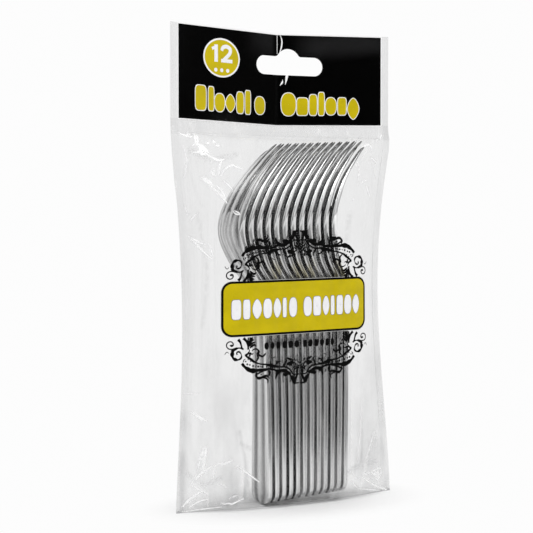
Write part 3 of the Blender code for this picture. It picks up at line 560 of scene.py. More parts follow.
def film_place(across_share, height, side, layer):
    """Where the film is: side -1 is the front and 1 the back, layer 0 its inside and 1 its outside."""
    across_share, height = np.broadcast_arrays(np.asarray(across_share, float), np.asarray(height, float))
    across = across_share * half_width(across_share, height)
    inner = across_share * BAG_WIDTH / (BAG_WIDTH - 2 * WELD)
    filled = belly(inner, height)
    full = np.minimum(1, filled / (BELLY_DEPTH / 4))
    pocket = np.where(height < HEADER_BOTTOM - CLEARANCE / 2, CLEARANCE / 2, HEADER_PANEL / 2 + CLEARANCE)
    folds, creases = (FRONT_FOLDS, FRONT_CREASES) if side < 0 else (BACK_FOLDS, BACK_CREASES)
    crease, _ = crease_rise(creases, across, height)
    rise = fold_rise(folds, across, height) + crease * 0.8 + soft_waves(across, height)
    weld = smooth_step((1 - np.abs(inner)) / 0.02)
    gap = (pocket + filled + full * rise) * weld
    along = lean(across, height) + side * (gap + layer * FILM)
    return across, along, height - sink(across, height)


def front_place(across, height, layer):
    """A point on the front of the film, lifted by a layer's thickness."""
    across, height = np.asarray(across, float), np.asarray(height, float)
    share = across / half_width(across, height)
    _, along, up = film_place(share, height, -1, 1)
    return np.stack([across, along - layer * MM, up], -1)


def grid_faces(rows, columns, first=0, closed=False):
    """Quads between rows of points, each row of the same number of columns."""
    faces = []
    steps = columns if closed else columns - 1
    for row in range(rows - 1):
        for column in range(steps):
            beside = (column + 1) % columns
            low, high = first + row * columns, first + (row + 1) * columns
            faces.append((low + column, low + beside, high + beside, high + column))
    return faces


def add_piece(name, points, faces, finish, replaced=(), values=None):
    """Makes one smooth-shaded mesh object that rides on the pack's body."""
    mesh = bpy.data.meshes.new(name)
    mesh.from_pydata([tuple(map(float, point)) for point in points], [], faces)
    mesh.polygons.foreach_set("use_smooth", [True] * len(mesh.polygons))
    for label, numbers in (values or {}).items():
        attribute = mesh.attributes.new(label, "FLOAT", "POINT")
        attribute.data.foreach_set("value", np.asarray(numbers, np.float32).ravel())
    mesh.materials.append(finish)
    piece = bpy.data.objects.new(name, mesh)
    bpy.context.scene.collection.objects.link(piece)
    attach(piece, BODY)
    if replaced:
        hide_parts(*replaced)
    return piece


def hole_distance(across, height):
    """Signed distance to the hang hole's edge, below zero inside it."""
    x, z = across - SLOT_MIDDLE[0], height - sink(across, height) - SLOT_MIDDLE[1]
    straight = SLOT_LENGTH / 2 - SLOT_HEIGHT / 2
    slot = np.hypot(np.maximum(np.abs(x) - straight, 0), z) - SLOT_HEIGHT / 2
    radius = ((BUMP_WIDTH / 2) ** 2 + BUMP_RISE ** 2) / (2 * BUMP_RISE)
    bump = np.hypot(x, z - (SLOT_HEIGHT / 2 + BUMP_RISE - radius)) - radius
    bump = np.where(z < 0, 1.0, bump)
    blend = np.maximum(HOLE_BLEND - np.abs(slot - bump), 0) / HOLE_BLEND
    return np.minimum(slot, bump) - blend * blend * HOLE_BLEND / 4


def open_hole(across, height, faces):
    """Takes the faces inside the hang hole out of a flat grid and draws its edge points onto the outline."""
    centre_x = across[faces].mean(axis=1)
    centre_z = height[faces].mean(axis=1)
    kept = faces[hole_distance(centre_x, centre_z) > 0]
    gone = faces[hole_distance(centre_x, centre_z) <= 0]
    edge = np.intersect1d(kept.ravel(), gone.ravel())
    step = 0.00002
    for _ in range(6):
        x, z = across[edge], height[edge]
        away = hole_distance(x, z)
        slope_x = (hole_distance(x + step, z) - hole_distance(x - step, z)) / (2 * step)
        slope_z = (hole_distance(x, z + step) - hole_distance(x, z - step)) / (2 * step)
        size = np.maximum(slope_x ** 2 + slope_z ** 2, 0.2)
        across[edge] = x - away * slope_x / size
        height[edge] = z - away * slope_z / size
    return kept


def drop_unused(points, faces, values):
    """Leaves out the points that no face uses."""
    used = np.unique(faces.ravel())
    place = np.full(len(points), -1)
    place[used] = np.arange(len(used))
    kept = [tuple(row) for row in place[faces].tolist()]
    return points[used], kept, {label: numbers[used] for label, numbers in values.items()}


class Wire:
    """A socket that can be used in sums as a number is."""

    def __init__(self, finish, socket):
        self.finish = finish
        self.socket = socket

    def _sum(self, operation, first, second=None):
        sockets = {0: first} if second is None else {0: first, 1: second}
        return self.finish.node("ShaderNodeMath", {"operation": operation}, sockets)

    def __add__(self, other):
        return self._sum("ADD", self, other)

    __radd__ = __add__

    def __sub__(self, other):
        return self._sum("SUBTRACT", self, other)

    def __rsub__(self, other):
        return self._sum("SUBTRACT", other, self)

    def __mul__(self, other):
        return self._sum("MULTIPLY", self, other)

    __rmul__ = __mul__

    def __abs__(self):
        return self._sum("ABSOLUTE", self)

    def sine(self):
        return self._sum("SINE", self)

    def lowest(self, other):
        return self._sum("MINIMUM", self, other)

    def highest(self, other):
        return self._sum("MAXIMUM", self, other)

    def within(self, low, high, start=0.0, end=1.0):
        """This value's place between low and high, eased and turned into start to end."""
        settings = {"interpolation_type": "SMOOTHSTEP"}
        return self.finish.node("ShaderNodeMapRange", settings, {0: self, 1: low, 2: high, 3: start, 4: end})


class Finish:
    """One material, world or lamp whose nodes are added by type, settings and sockets."""

    def __init__(self, owner):
        self.owner = owner
        owner.use_nodes = True
        self.tree = owner.node_tree
        self.tree.nodes.clear()

    def node(self, kind, settings=None, sockets=None, output=0):
        made = self.tree.nodes.new(kind)
        for label, value in (settings or {}).items():
            setattr(made, label, value)
        for label, value in (sockets or {}).items():
            if isinstance(value, Wire):
                self.tree.links.new(value.socket, made.inputs[label])
            else:
                made.inputs[label].default_value = value
        return Wire(self, made.outputs[output])

    def place(self):
        """The object's own coordinates, in metres."""
        return self.node("ShaderNodeTexCoord", output="Object")

    def parts(self, vector):
        """The three parts of a vector."""
        split = self.node("ShaderNodeSeparateXYZ", {}, {0: vector}).socket.node
        return [Wire(self, output) for output in split.outputs]

    def rays(self, *labels):
        """One for each kind of ray that is named, for a floor or a world."""
        path = self.node("ShaderNodeLightPath").socket.node
        return [Wire(self, path.outputs[label]) for label in labels]

    def toward_front(self, vector):
        """How far a vector points to the side that the camera is on."""
        sockets = {0: vector, 1: STUDIO_FRONT}
        return self.node("ShaderNodeVectorMath", {"operation": "DOT_PRODUCT"}, sockets, output="Value")

    def stretch(self, vector, scale):
        return self.node("ShaderNodeVectorMath", {"operation": "MULTIPLY"}, {0: vector, 1: scale})

    def noise(self, vector, scale, detail=2.0, roughness=0.5):
        sockets = {"Vector": vector, "Scale": scale, "Detail": detail, "Roughness": roughness}
        return self.node("ShaderNodeTexNoise", {}, sockets)

    def colours(self, share, start, end):
        """A colour between two colours."""
        return self.node("ShaderNodeMix", {"data_type": "RGBA"}, {0: share, 6: start, 7: end}, output=2)

    def attribute(self, label):
        return self.node("ShaderNodeAttribute", {"attribute_name": label}, output="Fac")

    def bump(self, height, strength, distance):
        return self.node("ShaderNodeBump", {}, {"Height": height, "Strength": strength, "Distance": distance})

    def principled(self, sockets):
        return self.node("ShaderNodeBsdfPrincipled", {}, sockets)

    def show(self, shader, kind="ShaderNodeOutputMaterial"):
        end = self.tree.nodes.new(kind)
        self.tree.links.new(shader.socket, end.inputs["Surface"])
        return self.owner


def solid_colour(colour):
    return (*colour, 1.0)


def film_finish(name, settings):
    """Clear wrinkled film: see-through, hazy in upright streaks, with a painted highlight along its creases
    and painted shade along its soft folds, crimped at its seal.
    """
    film = Finish(bpy.data.materials.new(name))
    place = film.place()
    across, _, up = film.parts(place)
    streaks = film.noise(film.stretch(place, (210.0, 60.0, 9.0)), 1.0, 3.0, 0.6)
    clouds = film.noise(film.stretch(place, (60.0, 60.0, 26.0)), 1.0, 2.0, 0.5)
    # shine: the painted highlight along the creases, from the mesh
    shine = film.attribute("shine")
    weld = film.attribute("weld")
    seal = up.within(SEAL_BOTTOM - 0.0012, SEAL_BOTTOM)
    seal = seal * up.within(HEADER_BOTTOM, HEADER_BOTTOM + 0.0005, 1.0, 0.0)
    low = 1 - up.within(0.03, 0.10)
    cloudy = clouds.within(0.42, 0.7) * (0.6 + low * 3.4)
    haze = settings.haze * (streaks.within(0.42, 0.72, 0.3, 2.1) + cloudy)
    gloss = film.node("ShaderNodeFresnel", {}, {"IOR": 1.45}).lowest(0.3)
    bare = 1 - film.attribute("printed")
    grain = film.noise(place, 420.0, 2.0).within(0.36, 0.58, 0.35, 1.0)
    # shade: the painted shade of the soft folds and of the film's foot, from the mesh
    shade = film.attribute("shade")
    ticks = (across * (2 * math.pi / CRIMP_PITCH)).sine().within(0.0, 0.9) * streaks.within(0.35, 0.6)
    # Painted shade and painted highlight both make the film less see-through where they lie
    cover = (haze + weld * 0.08 + seal * (0.07 + ticks * 0.09) + gloss * 0.4 + shade) * bare + shine * grain
    crimp = ticks * seal * 0.6 + streaks * 1.2 + clouds * 1.1
    dark, light = solid_colour(settings.haze_dark), solid_colour(settings.haze_light)
    grey = film.colours(streaks.within(0.35, 0.7), dark, light)
    # Painted shade: the film turns dark grey along its soft folds
    grey = film.colours(shade.within(0.02, 0.12), grey, (0.25, 0.25, 0.26, 1.0))
    # Painted highlight: the film turns white along its creases
    colour = film.colours(shine.within(0.05, 0.35), grey, WHITE)
    body = film.principled({
        "Base Color": colour,
        "Roughness": film.noise(place, 300.0).within(0.3, 0.7, 0.05, 0.16),
        "Specular IOR Level": 0.6,
        "Normal": film.bump(crimp, 0.35, 0.0006),
    })
    clear = film.node("ShaderNodeBsdfTransparent", {}, {"Color": (settings.clearness,) * 3 + (1.0,)})
    return film.show(film.node("ShaderNodeMixShader", {}, {0: cover.lowest(0.97), 1: clear, 2: body}))


def glint_finish(name):
    """Painted white glints along the film's creases, soft at their edges."""
    glint = Finish(bpy.data.materials.new(name))
    place = glint.place()
    grain = glint.noise(place, 700.0, 2.0).within(0.3, 0.6, 0.6, 1.0)
    body = glint.principled({
        "Base Color": glint.colours(grain, (0.93, 0.93, 0.94, 1.0), WHITE),
        "Roughness": grain * 0.3 + 0.1,
        "Specular IOR Level": 0.5,
        "Normal": glint.bump(grain, 0.2, 0.0004),
    })
    clear = glint.node("ShaderNodeBsdfTransparent")
    cover = (glint.attribute("shine") * grain * 2.2).lowest(0.97)
    return glint.show(glint.node("ShaderNodeMixShader", {}, {0: cover, 1: clear, 2: body}))


def header_finish(name, colour):
    """Gloss black print with faint broad painted sheens, lighter and duller along its crease."""
    black = Finish(bpy.data.materials.new(name))
    place = black.place()
    across, _, up = black.parts(place)
    sweep = black.noise(black.stretch(place, (26.0, 20.0, 44.0)), 1.0, 1.0, 0.4)
    fine = black.noise(place, 900.0, 3.0)
    bend = 1 - abs(across - CREASE_PLACE).within(0.0, 0.0014, 0.0, 1.0)
    # Painted sheens: the black is lifted towards dark grey in broad patches at the right, the left, low down
    # and at the left edge; along the crease it is also a little lighter
    slant = up - across * 0.12
    right = slant.within(0.2255, 0.2345) * across.within(0.006, 0.024) * slant.within(0.236, 0.243, 1.0, 0.45)
    left = across.within(-0.022, -0.006) * (1 - across.within(-0.003, 0.0)) * up.within(0.226, 0.238)
    low = across.within(-0.046, -0.034) * (1 - across.within(-0.030, -0.016)) * (1 - up.within(0.1985, 0.204))
    edge = (1 - across.within(-0.060, -0.050)) * up.within(0.205, 0.24) * 0.12
    lift = (right * 0.9 + left * 0.75 + low * 0.6 + edge) * sweep.within(0.2, 0.6, 0.5, 1.0) + bend * 0.15
    tone = black.colours(lift.lowest(1.0), solid_colour(colour), (0.017, 0.017, 0.0175, 1.0))
    body = black.principled({
        "Base Color": tone,
        "Roughness": fine.within(0.3, 0.7, 0.16, 0.26) + bend * 0.1,
        "Specular IOR Level": 0.01,
        "Normal": black.bump(sweep * 2.0 + fine * 0.02, 0.25, 0.001),
    })
    return black.show(body)


def ink_finish(name, colour, variation, roughness=0.4, lustre=0.14):
    """Printed ink: an even field with faint mottling, fine dots and a satin gloss."""
    ink = Finish(bpy.data.materials.new(name))
    place = ink.place()
    mottle = ink.noise(ink.stretch(place, (70.0, 70.0, 130.0)), 1.0, 3.0, 0.6)
    dots = ink.noise(place, 2600.0, 1.0)
    dark = tuple(part * (1 - variation) for part in colour)
    light = tuple(min(1.0, part * (1 + variation)) for part in colour)
    tone = ink.colours(mottle.within(0.3, 0.7) * 0.8 + dots * 0.2, solid_colour(dark), solid_colour(light))
    body = ink.principled({
        "Base Color": tone,
        "Roughness": mottle.within(0.3, 0.7, roughness - 0.06, roughness + 0.08),
        "Specular IOR Level": lustre,
        "Normal": ink.bump(mottle + dots * 0.05, 0.15, 0.0006),
    })
    return ink.show(body)


def silver_finish(name, settings):
    """Silvered plastic: bright and smooth, with painted shade in its recesses and between the forks, a
    painted reflection of the label, and faint lines along it.
    """
    silver = Finish(bpy.data.materials.new(name))
    place = silver.place()
    lines = silver.noise(silver.stretch(place, (900.0, 900.0, 14.0)), 1.0, 3.0, 0.6)
    clouds = silver.noise(silver.stretch(place, (120.0, 120.0, 30.0)), 1.0, 2.0)
    # How much painted shade each place gets, held on the mesh, darkens the silver towards the painted shade
    # colour
    painted_shade = silver.attribute("painted_shade")
    tone = silver.colours(
        (painted_shade + lines.within(0.45, 0.75, 0.0, 0.15)).lowest(1.0),
        solid_colour(settings.silver), solid_colour(settings.painted_shade),
    )
    _, inward, up = silver.parts(place)
    # A painted reflection of the yellow label on the forks' front edges, just above and below the label
    above_label = up.within(0.1150, 0.1168) * up.within(0.1185, 0.1290, 1.0, 0.0)
    below_label = up.within(0.0850, 0.0885) * up.within(0.0885, 0.0900, 1.0, 0.0) * 0.6
    painted_label_reflection = (above_label + below_label) * clouds.within(0.44, 0.62) * inward.within(-0.0076, -0.0066, 0.5, 0.0)
    tone = silver.colours(painted_label_reflection, tone, LABEL_REFLECTION)
    smooth = settings.roughness
    body = silver.principled({
        "Base Color": tone,
        "Metallic": 1.0,
        "Roughness": clouds.within(0.3, 0.7, smooth - 0.03, smooth + 0.04) + lines * 0.04,
        "Normal": silver.bump(lines * 0.4 + clouds, 0.10, 0.0006),
    })
    return silver.show(body)


class ForkPackBag(bpy.types.PropertyGroup):
    """What can be changed on the film."""

    columns: bpy.props.IntProperty(
        name="Columns", description="Columns of the front film's mesh", default=204, min=40, max=260,
    )
    rows: bpy.props.IntProperty(
        name="Rows", description="Rows of the front film's mesh", default=392, min=80, max=460,
    )
    haze: bpy.props.FloatProperty(
        name="Haze", description="How much the film veils what is behind it",
        default=0.05, min=0.0, max=1.0,
    )
    clearness: bpy.props.FloatProperty(
        name="Clearness", description="Light that the clear film lets through",
        default=0.94, min=0.0, max=1.0,
    )
    haze_dark: bpy.props.FloatVectorProperty(
        name="Dark haze", description="Colour of the film's haze in its folds",
        subtype="COLOR", size=3, default=(0.36, 0.36, 0.37),
    )
    haze_light: bpy.props.FloatVectorProperty(
        name="Light haze", description="Colour of the film's haze where it is plain",
        subtype="COLOR", size=3, default=(0.90, 0.90, 0.90),
    )


class ForkPackPrint(bpy.types.PropertyGroup):
    """What can be changed on the header and the print."""

    header: bpy.props.FloatVectorProperty(
        name="Header", description="Colour of the header",
        subtype="COLOR", size=3, default=(0.0012, 0.0012, 0.0012),
    )
    yellow: bpy.props.FloatVectorProperty(
        name="Yellow", description="Colour of the label, the badge and the header's shapes",
        subtype="COLOR", size=3, default=(0.60, 0.475, 0.0),
    )
    white: bpy.props.FloatVectorProperty(
        name="White", description="Colour of the white ink",
        subtype="COLOR", size=3, default=(0.93, 0.93, 0.95),
    )
    black: bpy.props.FloatVectorProperty(
        name="Black", description="Colour of the black ink",
        subtype="COLOR", size=3, default=(0.003, 0.003, 0.003),
    )
    label_width: bpy.props.FloatProperty(
        name="Label width", description="Width of the label", default=0.0835, unit="LENGTH",
    )
    label_height: bpy.props.FloatProperty(
        name="Label height", description="Height of the label", default=0.0268, unit="LENGTH",
    )
    badge_width: bpy.props.FloatProperty(
        name="Badge width", description="Width of the round badge", default=0.0222, unit="LENGTH",
    )
    badge_height: bpy.props.FloatProperty(
        name="Badge height", description="Height of the round badge", default=0.0199, unit="LENGTH",
    )


class ForkPackForks(bpy.types.PropertyGroup):
    """What can be changed on the forks."""

    silver: bpy.props.FloatVectorProperty(
        name="Silver", description="Colour of the silvering",
        subtype="COLOR", size=3, default=(0.91, 0.91, 0.91),
    )
    # The colour of the painted shade between the forks and in their recesses
    painted_shade: bpy.props.FloatVectorProperty(
        name="Recess", description="Colour of the silvering between the forks",
        subtype="COLOR", size=3, default=(0.02, 0.02, 0.02),
    )
    roughness: bpy.props.FloatProperty(
        name="Roughness", description="How dull the silvering is", default=0.10, min=0.05, max=1.0,
    )


class ForkPackStage(bpy.types.PropertyGroup):
    """What can be changed on the floor, the lamps and the camera."""

    floor: bpy.props.FloatVectorProperty(
        name="Floor", description="Colour of the floor",
        subtype="COLOR", size=3, default=(0.96, 0.96, 0.96),
    )
    backdrop: bpy.props.FloatProperty(
        name="Backdrop", description="Brightness of the backdrop", default=0.98, min=0.0, max=1.0,
    )
    key_power: bpy.props.FloatProperty(
        name="Key lamp", description="Power of the lamp on the left", default=4.6, min=0.0,
    )
    fill_power: bpy.props.FloatProperty(
        name="Fill lamp", description="Power of the lamp on the right", default=3.6, min=0.0,
    )
    glint_power: bpy.props.FloatProperty(
        name="Glint lamp", description="Power of the small lamp that the tines reflect",
        default=0.35, min=0.0,
    )
    top_power: bpy.props.FloatProperty(
        name="Top lamp", description="Power of the lamp above", default=2.4, min=0.0,
    )
    ambient: bpy.props.FloatProperty(
        name="Ambient light", description="Strength of the even light from all round",
        default=0.54, min=0.0,
    )
    camera_azimuth: bpy.props.FloatProperty(
        name="Camera azimuth", description="Direction of the camera",
        default=math.radians(-29.12), subtype="ANGLE",
    )
    camera_elevation: bpy.props.FloatProperty(
        name="Camera elevation", description="Height angle of the camera",
        default=math.radians(1.72), subtype="ANGLE",
    )
    camera_distance: bpy.props.FloatProperty(
        name="Camera distance", description="Distance of the camera", default=0.7275, unit="LENGTH",
    )
    camera_lens: bpy.props.FloatProperty(
        name="Lens", description="Focal length in millimetres", default=95.71, min=10.0,
    )


def film_values(across, height, inner, creases):
    """How strong the painted highlight along the creases is at each place of the film, where its welds and
    print are, and its painted shade.
    """
    _, white = crease_rise(creases, across, height)
    weld = smooth_step((np.abs(inner) - 0.985) / 0.03)
    above = smooth_step((height - HEADER_BOTTOM) / PRINT_EDGE)
    printed = above * smooth_step((HEADER_HALF - np.abs(across)) / PRINT_EDGE + 1)
    return {"shine": white, "weld": weld, "printed": printed, "shade": crease_shade(creases, across, height)}


class FORKPACK_OT_film(bpy.types.Operator):
    """Build the clear film: a wrinkled front, and a back with the floor"""

    bl_idname = "forkpack.film"
    bl_label = "Clear film"

    def execute(self, context):
        settings = context.scene.fork_pack_bag
        finish = film_finish("clear_film", settings)
        self.front(settings, finish)
        self.back(settings, finish)
        # Painted white glints as thin meshes along the front film's bright creases
        glints = Drawing()
        for points, width, _, shine in FRONT_CREASES:
            if shine > 0:
                widths = [width * share * GLINT_SPREAD for share in GLINT_TAPER]
                glints.stroke_mm(points, widths, GLINT_LAYER, soft=shine)
        glints.make("film_crease_glints", glint_finish("crease_glints"), shaded=True)
        return {"FINISHED"}

    def sheet(self, columns, rows, side, creases):
        """One layer of the film with its hang hole, from the floor to the top edge."""
        share = np.linspace(-1, 1, columns)
        height = np.linspace(0.0, BAG_HEIGHT, rows)
        shares, heights = (part.ravel() for part in np.meshgrid(share, height))
        faces = np.array(grid_faces(rows, columns))
        across = shares * half_width(shares, heights)
        faces = open_hole(across, heights, faces)
        shares = across / half_width(across, heights)
        x, y, z = film_place(shares, heights, side, FILM_LAYER)
        inner = shares * BAG_WIDTH / (BAG_WIDTH - 2 * WELD)
        values = film_values(x, heights, inner, creases)
        return np.stack([x, y, z], -1), faces, values

    def front(self, settings, finish):
        points, faces, values = self.sheet(settings.columns, settings.rows, -1, FRONT_CREASES)
        points, faces, values = drop_unused(points, faces, values)
        add_piece("film_front", points, faces, finish, ("bag_film",), values)

    def back(self, settings, finish):
        columns, rows = settings.columns // 2, settings.rows // 2
        points, faces, values = self.sheet(columns, rows, 1, BACK_CREASES)
        first = len(points)
        share = np.linspace(-1, 1, columns)
        front_x, front_y, _ = film_place(share, 0.0, -1, FILM_LAYER)
        _, back_y, _ = film_place(share, 0.0, 1, FILM_LAYER)
        level = np.full(columns, FLOOR_LEVEL)
        for step in np.linspace(0, 1, FLOOR_ROWS):
            row = np.stack([front_x, mix(front_y, back_y, step), level], -1)
            points = np.concatenate([points, row])
        faces = np.concatenate([faces, np.array(grid_faces(FLOOR_ROWS, columns, first))])
        plain = np.zeros(columns * FLOOR_ROWS)
        values = {label: np.concatenate([numbers, plain]) for label, numbers in values.items()}
        points, faces, values = drop_unused(points, faces, values)
        add_piece("film_back", points, faces, finish, ("bag_film",), values)


class FORKPACK_OT_header(bpy.types.Operator):
    """Build the black header panel, its pale edge and the painted highlight of its crease"""

    bl_idname = "forkpack.header"
    bl_label = "Black header"

    def execute(self, context):
        settings = context.scene.fork_pack_print
        finish = header_finish("gloss_black", settings.header)
        left = np.linspace(-HEADER_HALF, CREASE_PLACE, HEADER_COLUMNS)
        right = np.linspace(CREASE_PLACE, HEADER_HALF, HEADER_COLUMNS)[1:]
        x = np.concatenate([left, right])
        z = np.linspace(HEADER_BOTTOM + CLEARANCE, BAG_HEIGHT - HEADER_TOP_MARGIN, HEADER_ROWS)
        across, height = (part.ravel() for part in np.meshgrid(x, z))
        faces = open_hole(across, height, np.array(grid_faces(HEADER_ROWS, len(x))))
        sheets = []
        for depth in (-HEADER_PANEL / 2, HEADER_PANEL / 2):
            sheets.append(np.stack([across, lean(across, height) + depth, height - sink(across, height)], -1))
        both = np.concatenate([faces, faces[:, ::-1] + len(across)])
        rims = edge_rims(faces, len(across))
        points, faces, _ = drop_unused(np.concatenate(sheets), np.concatenate([both, rims]), {})
        add_piece("header_sheet", points, faces, finish, ("header_panel",))
        # The pale ink draws the real pale edge and the painted highlight of the crease
        pale = ink_finish("pale_edge_and_painted_crease_highlight", (0.96, 0.96, 0.96), 0.02)
        self.border(pale, x, z)
        self.crease(pale)
        return {"FINISHED"}

    def border(self, finish, x, z):
        """The narrow pale line round the header, where the clear margin begins."""
        left, right = x[0] - EDGE_LINE_OUT, x[-1] + EDGE_LINE_OUT
        low, high = z[0] - EDGE_LINE_OUT, z[-1] + EDGE_LINE_OUT
        corners = [(left, low), (right, low), (right, high), (left, high)]
        drawing = Drawing()
        for start, end in zip(corners, corners[1:] + corners[:1]):
            drawing.stroke([start, end], (EDGE_LINE_WIDTH, EDGE_LINE_WIDTH), 0.02, straight=True)
        drawing.make("header_edge_line", finish)

    def crease(self, finish):
        """The painted highlight of the header's crease, above and below the hang hole, in pale ink."""
        drawing = Drawing()
        for points, widths in CREASE_SHINES:
            drawing.stroke_mm([(x + CREASE_PLACE / MM, z) for x, z in points], widths, 0.05)
        drawing.make("header_crease_shine", finish)


def edge_rims(faces, offset):
    """Quads that join the open edges of a sheet to those of its copy."""
    seen = {}
    for face in faces.tolist():
        for start, end in zip(face, face[1:] + face[:1]):
            seen[(start, end)] = True
    rims = [(end, start, start + offset, end + offset) for start, end in seen if (end, start) not in seen]
    return np.array(rims)


class Drawing:
    """Ink shapes that lie on the front of the film, gathered into one mesh."""

    def __init__(self, tilted=False):
        self.places = []
        self.faces = []
        self.strengths = []
        self.tilt = PRINT_TILT if tilted else 0.0

    def _add(self, across, height, layer, faces, strength=None):
        first = sum(len(place) for place in self.places)
        raised = np.asarray(height) + self.tilt * (np.asarray(across) - LABEL_MIDDLE[0])
        self.places.append(front_place(across, raised, layer))
        self.strengths.append(np.ones(len(raised)) if strength is None else strength)
        self.faces += [tuple(int(corner) + first for corner in face) for face in faces]

    def stroke(self, points, widths, layer, ruffle=0.0, straight=False, soft=1.0):
        """A line of ink with a changing width in mm, through points in metres."""
        points = np.asarray(points, float)
        line = points if straight else smooth_line(points)
        gaps = np.hypot(*(line[1:] - line[:-1]).T)
        run = np.concatenate([[0], np.cumsum(gaps)])
        count = max(4, int(run[-1] / STROKE_STEP))
        at = np.linspace(0, run[-1], count)
        x, z = np.interp(at, run, line[:, 0]), np.interp(at, run, line[:, 1])
        slope_x, slope_z = np.gradient(x), np.gradient(z)
        size = np.maximum(np.hypot(slope_x, slope_z), 1e-12)
        width = np.interp(np.linspace(0, 1, count), np.linspace(0, 1, len(widths)), widths) * MM
        width = width * (1 + ruffle * np.sin(at / RUFFLE_LENGTH))
        rows = []
        for side in (-0.5, 0.0, 0.5):
            rows.append((x - slope_z / size * width * side, z + slope_x / size * width * side))
        across = np.concatenate([row[0] for row in rows])
        height = np.concatenate([row[1] for row in rows])
        strength = np.concatenate([np.zeros(count), np.full(count, soft), np.zeros(count)])
        self._add(across, height, layer, grid_faces(3, count), strength)

    def stroke_mm(self, points, widths, layer, ruffle=0.0, soft=1.0):
        self.stroke([(x * MM, z * MM) for x, z in points], widths, layer, ruffle, soft=soft)

    def shapes(self, rows, grow, layer, rings=5, steps=40):
        """The plain shapes of a table, each grown by the same width in mm."""
        for x, z, half_x, half_z, squareness in rows:
            half = (half_x + grow) * MM, (half_z + grow) * MM
            self.block((x * MM, z * MM), *half, squareness, layer, rings, steps)

    def block(self, middle, half_across, half_up, squareness, layer, rings=5, steps=40):
        """A filled round, square or diamond shape, in metres."""
        turn = np.linspace(0, 2 * np.pi, steps, endpoint=False)
        reach = (np.abs(np.cos(turn)) ** squareness + np.abs(np.sin(turn)) ** squareness) ** (-1 / squareness)
        radius = np.linspace(0.02, 1, rings)
        shares, turns = np.meshgrid(radius, turn, indexing="ij")
        reaches = np.broadcast_to(reach, shares.shape) * shares
        across = middle[0] + half_across * reaches * np.cos(turns)
        height = middle[1] + half_up * reaches * np.sin(turns)
        faces = grid_faces(rings, steps, closed=True) + [tuple(range(steps))]
        self._add(across.ravel(), height.ravel(), layer, faces)

    def plate(self, middle, width, height, corner, layer):
        """A filled rectangle with round corners, in metres."""
        turn = np.linspace(0, np.pi / 2, 9)
        ends = width / 2 - corner + corner * np.cos(turn)
        inside = np.linspace(-(width / 2 - corner), width / 2 - corner, 110)[1:-1]
        columns = np.concatenate([-ends, inside, ends[::-1]])
        past = np.maximum(0, np.abs(columns) - (width / 2 - corner))
        half = height / 2 - corner + np.sqrt(np.maximum(0, corner ** 2 - past ** 2))
        rows = np.linspace(-1, 1, 41)
        across = np.broadcast_to(middle[0] + columns, (len(rows), len(columns)))
        up = middle[1] + rows[:, None] * half[None, :]
        self._add(across.ravel(), up.ravel(), layer, grid_faces(len(rows), len(columns)))

    def make(self, name, finish, replaced=(), shaded=False):
        values = {"shine": np.concatenate(self.strengths)} if shaded else None
        return add_piece(name, np.concatenate(self.places), self.faces, finish, replaced, values)


def smooth_line(points):
    """Points close together on a smooth line through the given ones."""
    if len(points) < 3:
        return points
    line = []
    last = len(points) - 1
    for index in range(last):
        start, end = points[index], points[index + 1]
        before = points[index - 1] if index else 2 * start - end
        after = points[index + 2] if index + 1 < last else 2 * end - start
        for step in np.linspace(0, 1, 12, endpoint=False):
            line.append(0.5 * (
                2 * start + (end - before) * step
                + (2 * before - 5 * start + 4 * end - after) * step ** 2
                + (3 * start - before - 3 * end + after) * step ** 3
            ))
    line.append(points[-1])
    return np.array(line)


class FORKPACK_OT_header_print(bpy.types.Operator):
    """Build the header's print: the round badge with its number and a row of plain shapes"""

    bl_idname = "forkpack.header_print"
    bl_label = "Header print"

    def execute(self, context):
        settings = context.scene.fork_pack_print
        yellow = ink_finish("yellow_ink", settings.yellow, 0.07)
        white = ink_finish("white_ink", settings.white, 0.02)
        outlines = Drawing()
        outlines.block(BADGE_MIDDLE, settings.badge_width / 2, settings.badge_height / 2, ROUND, 0.02, 10, 72)
        outlines.shapes(HEADER_SHAPES, HEADER_OUTLINE, 0.02)
        outlines.make("header_shape_outlines", white)
        fields = Drawing()
        half = settings.badge_width / 2 - BADGE_RIM, settings.badge_height / 2 - BADGE_RIM
        fields.block(BADGE_MIDDLE, *half, ROUND, 0.07, 10, 72)
        fields.make("badge_disc", yellow, ("badge_field",))
        shapes = Drawing()
        shapes.shapes(HEADER_SHAPES, 0.0, 0.07)
        shapes.make("header_shapes", yellow)
        digits = Drawing()
        digits.stroke_mm([(-37.4, 235.9), (-37.4, 231.0), (-37.4, 227.1)], (2.1, 2.1, 2.1), 0.12)
        digits.stroke_mm([(-36.9, 235.5), (-38.2, 234.4), (-39.9, 233.6)], (1.0, 1.6, 1.5), 0.13)
        two = [
            (-34.0, 233.0), (-33.3, 234.6), (-31.2, 235.3), (-29.0, 234.3), (-29.0, 232.2), (-30.7, 230.2),
            (-33.5, 227.9),
        ]
        digits.stroke_mm(two, (1.7, 2.0, 2.0, 2.0, 2.0, 1.9, 1.5), 0.12)
        digits.stroke_mm([(-34.4, 228.0), (-31.0, 228.0), (-27.5, 228.0)], (1.8, 1.8, 1.8), 0.13)
        for x in (-37.6, -34.0, -30.4):
            digits.block((x * MM, 0.2231), 0.0010, 0.0010, ROUND, 0.12, 3, 20)
        digits.make("badge_number", white)
        return {"FINISHED"}


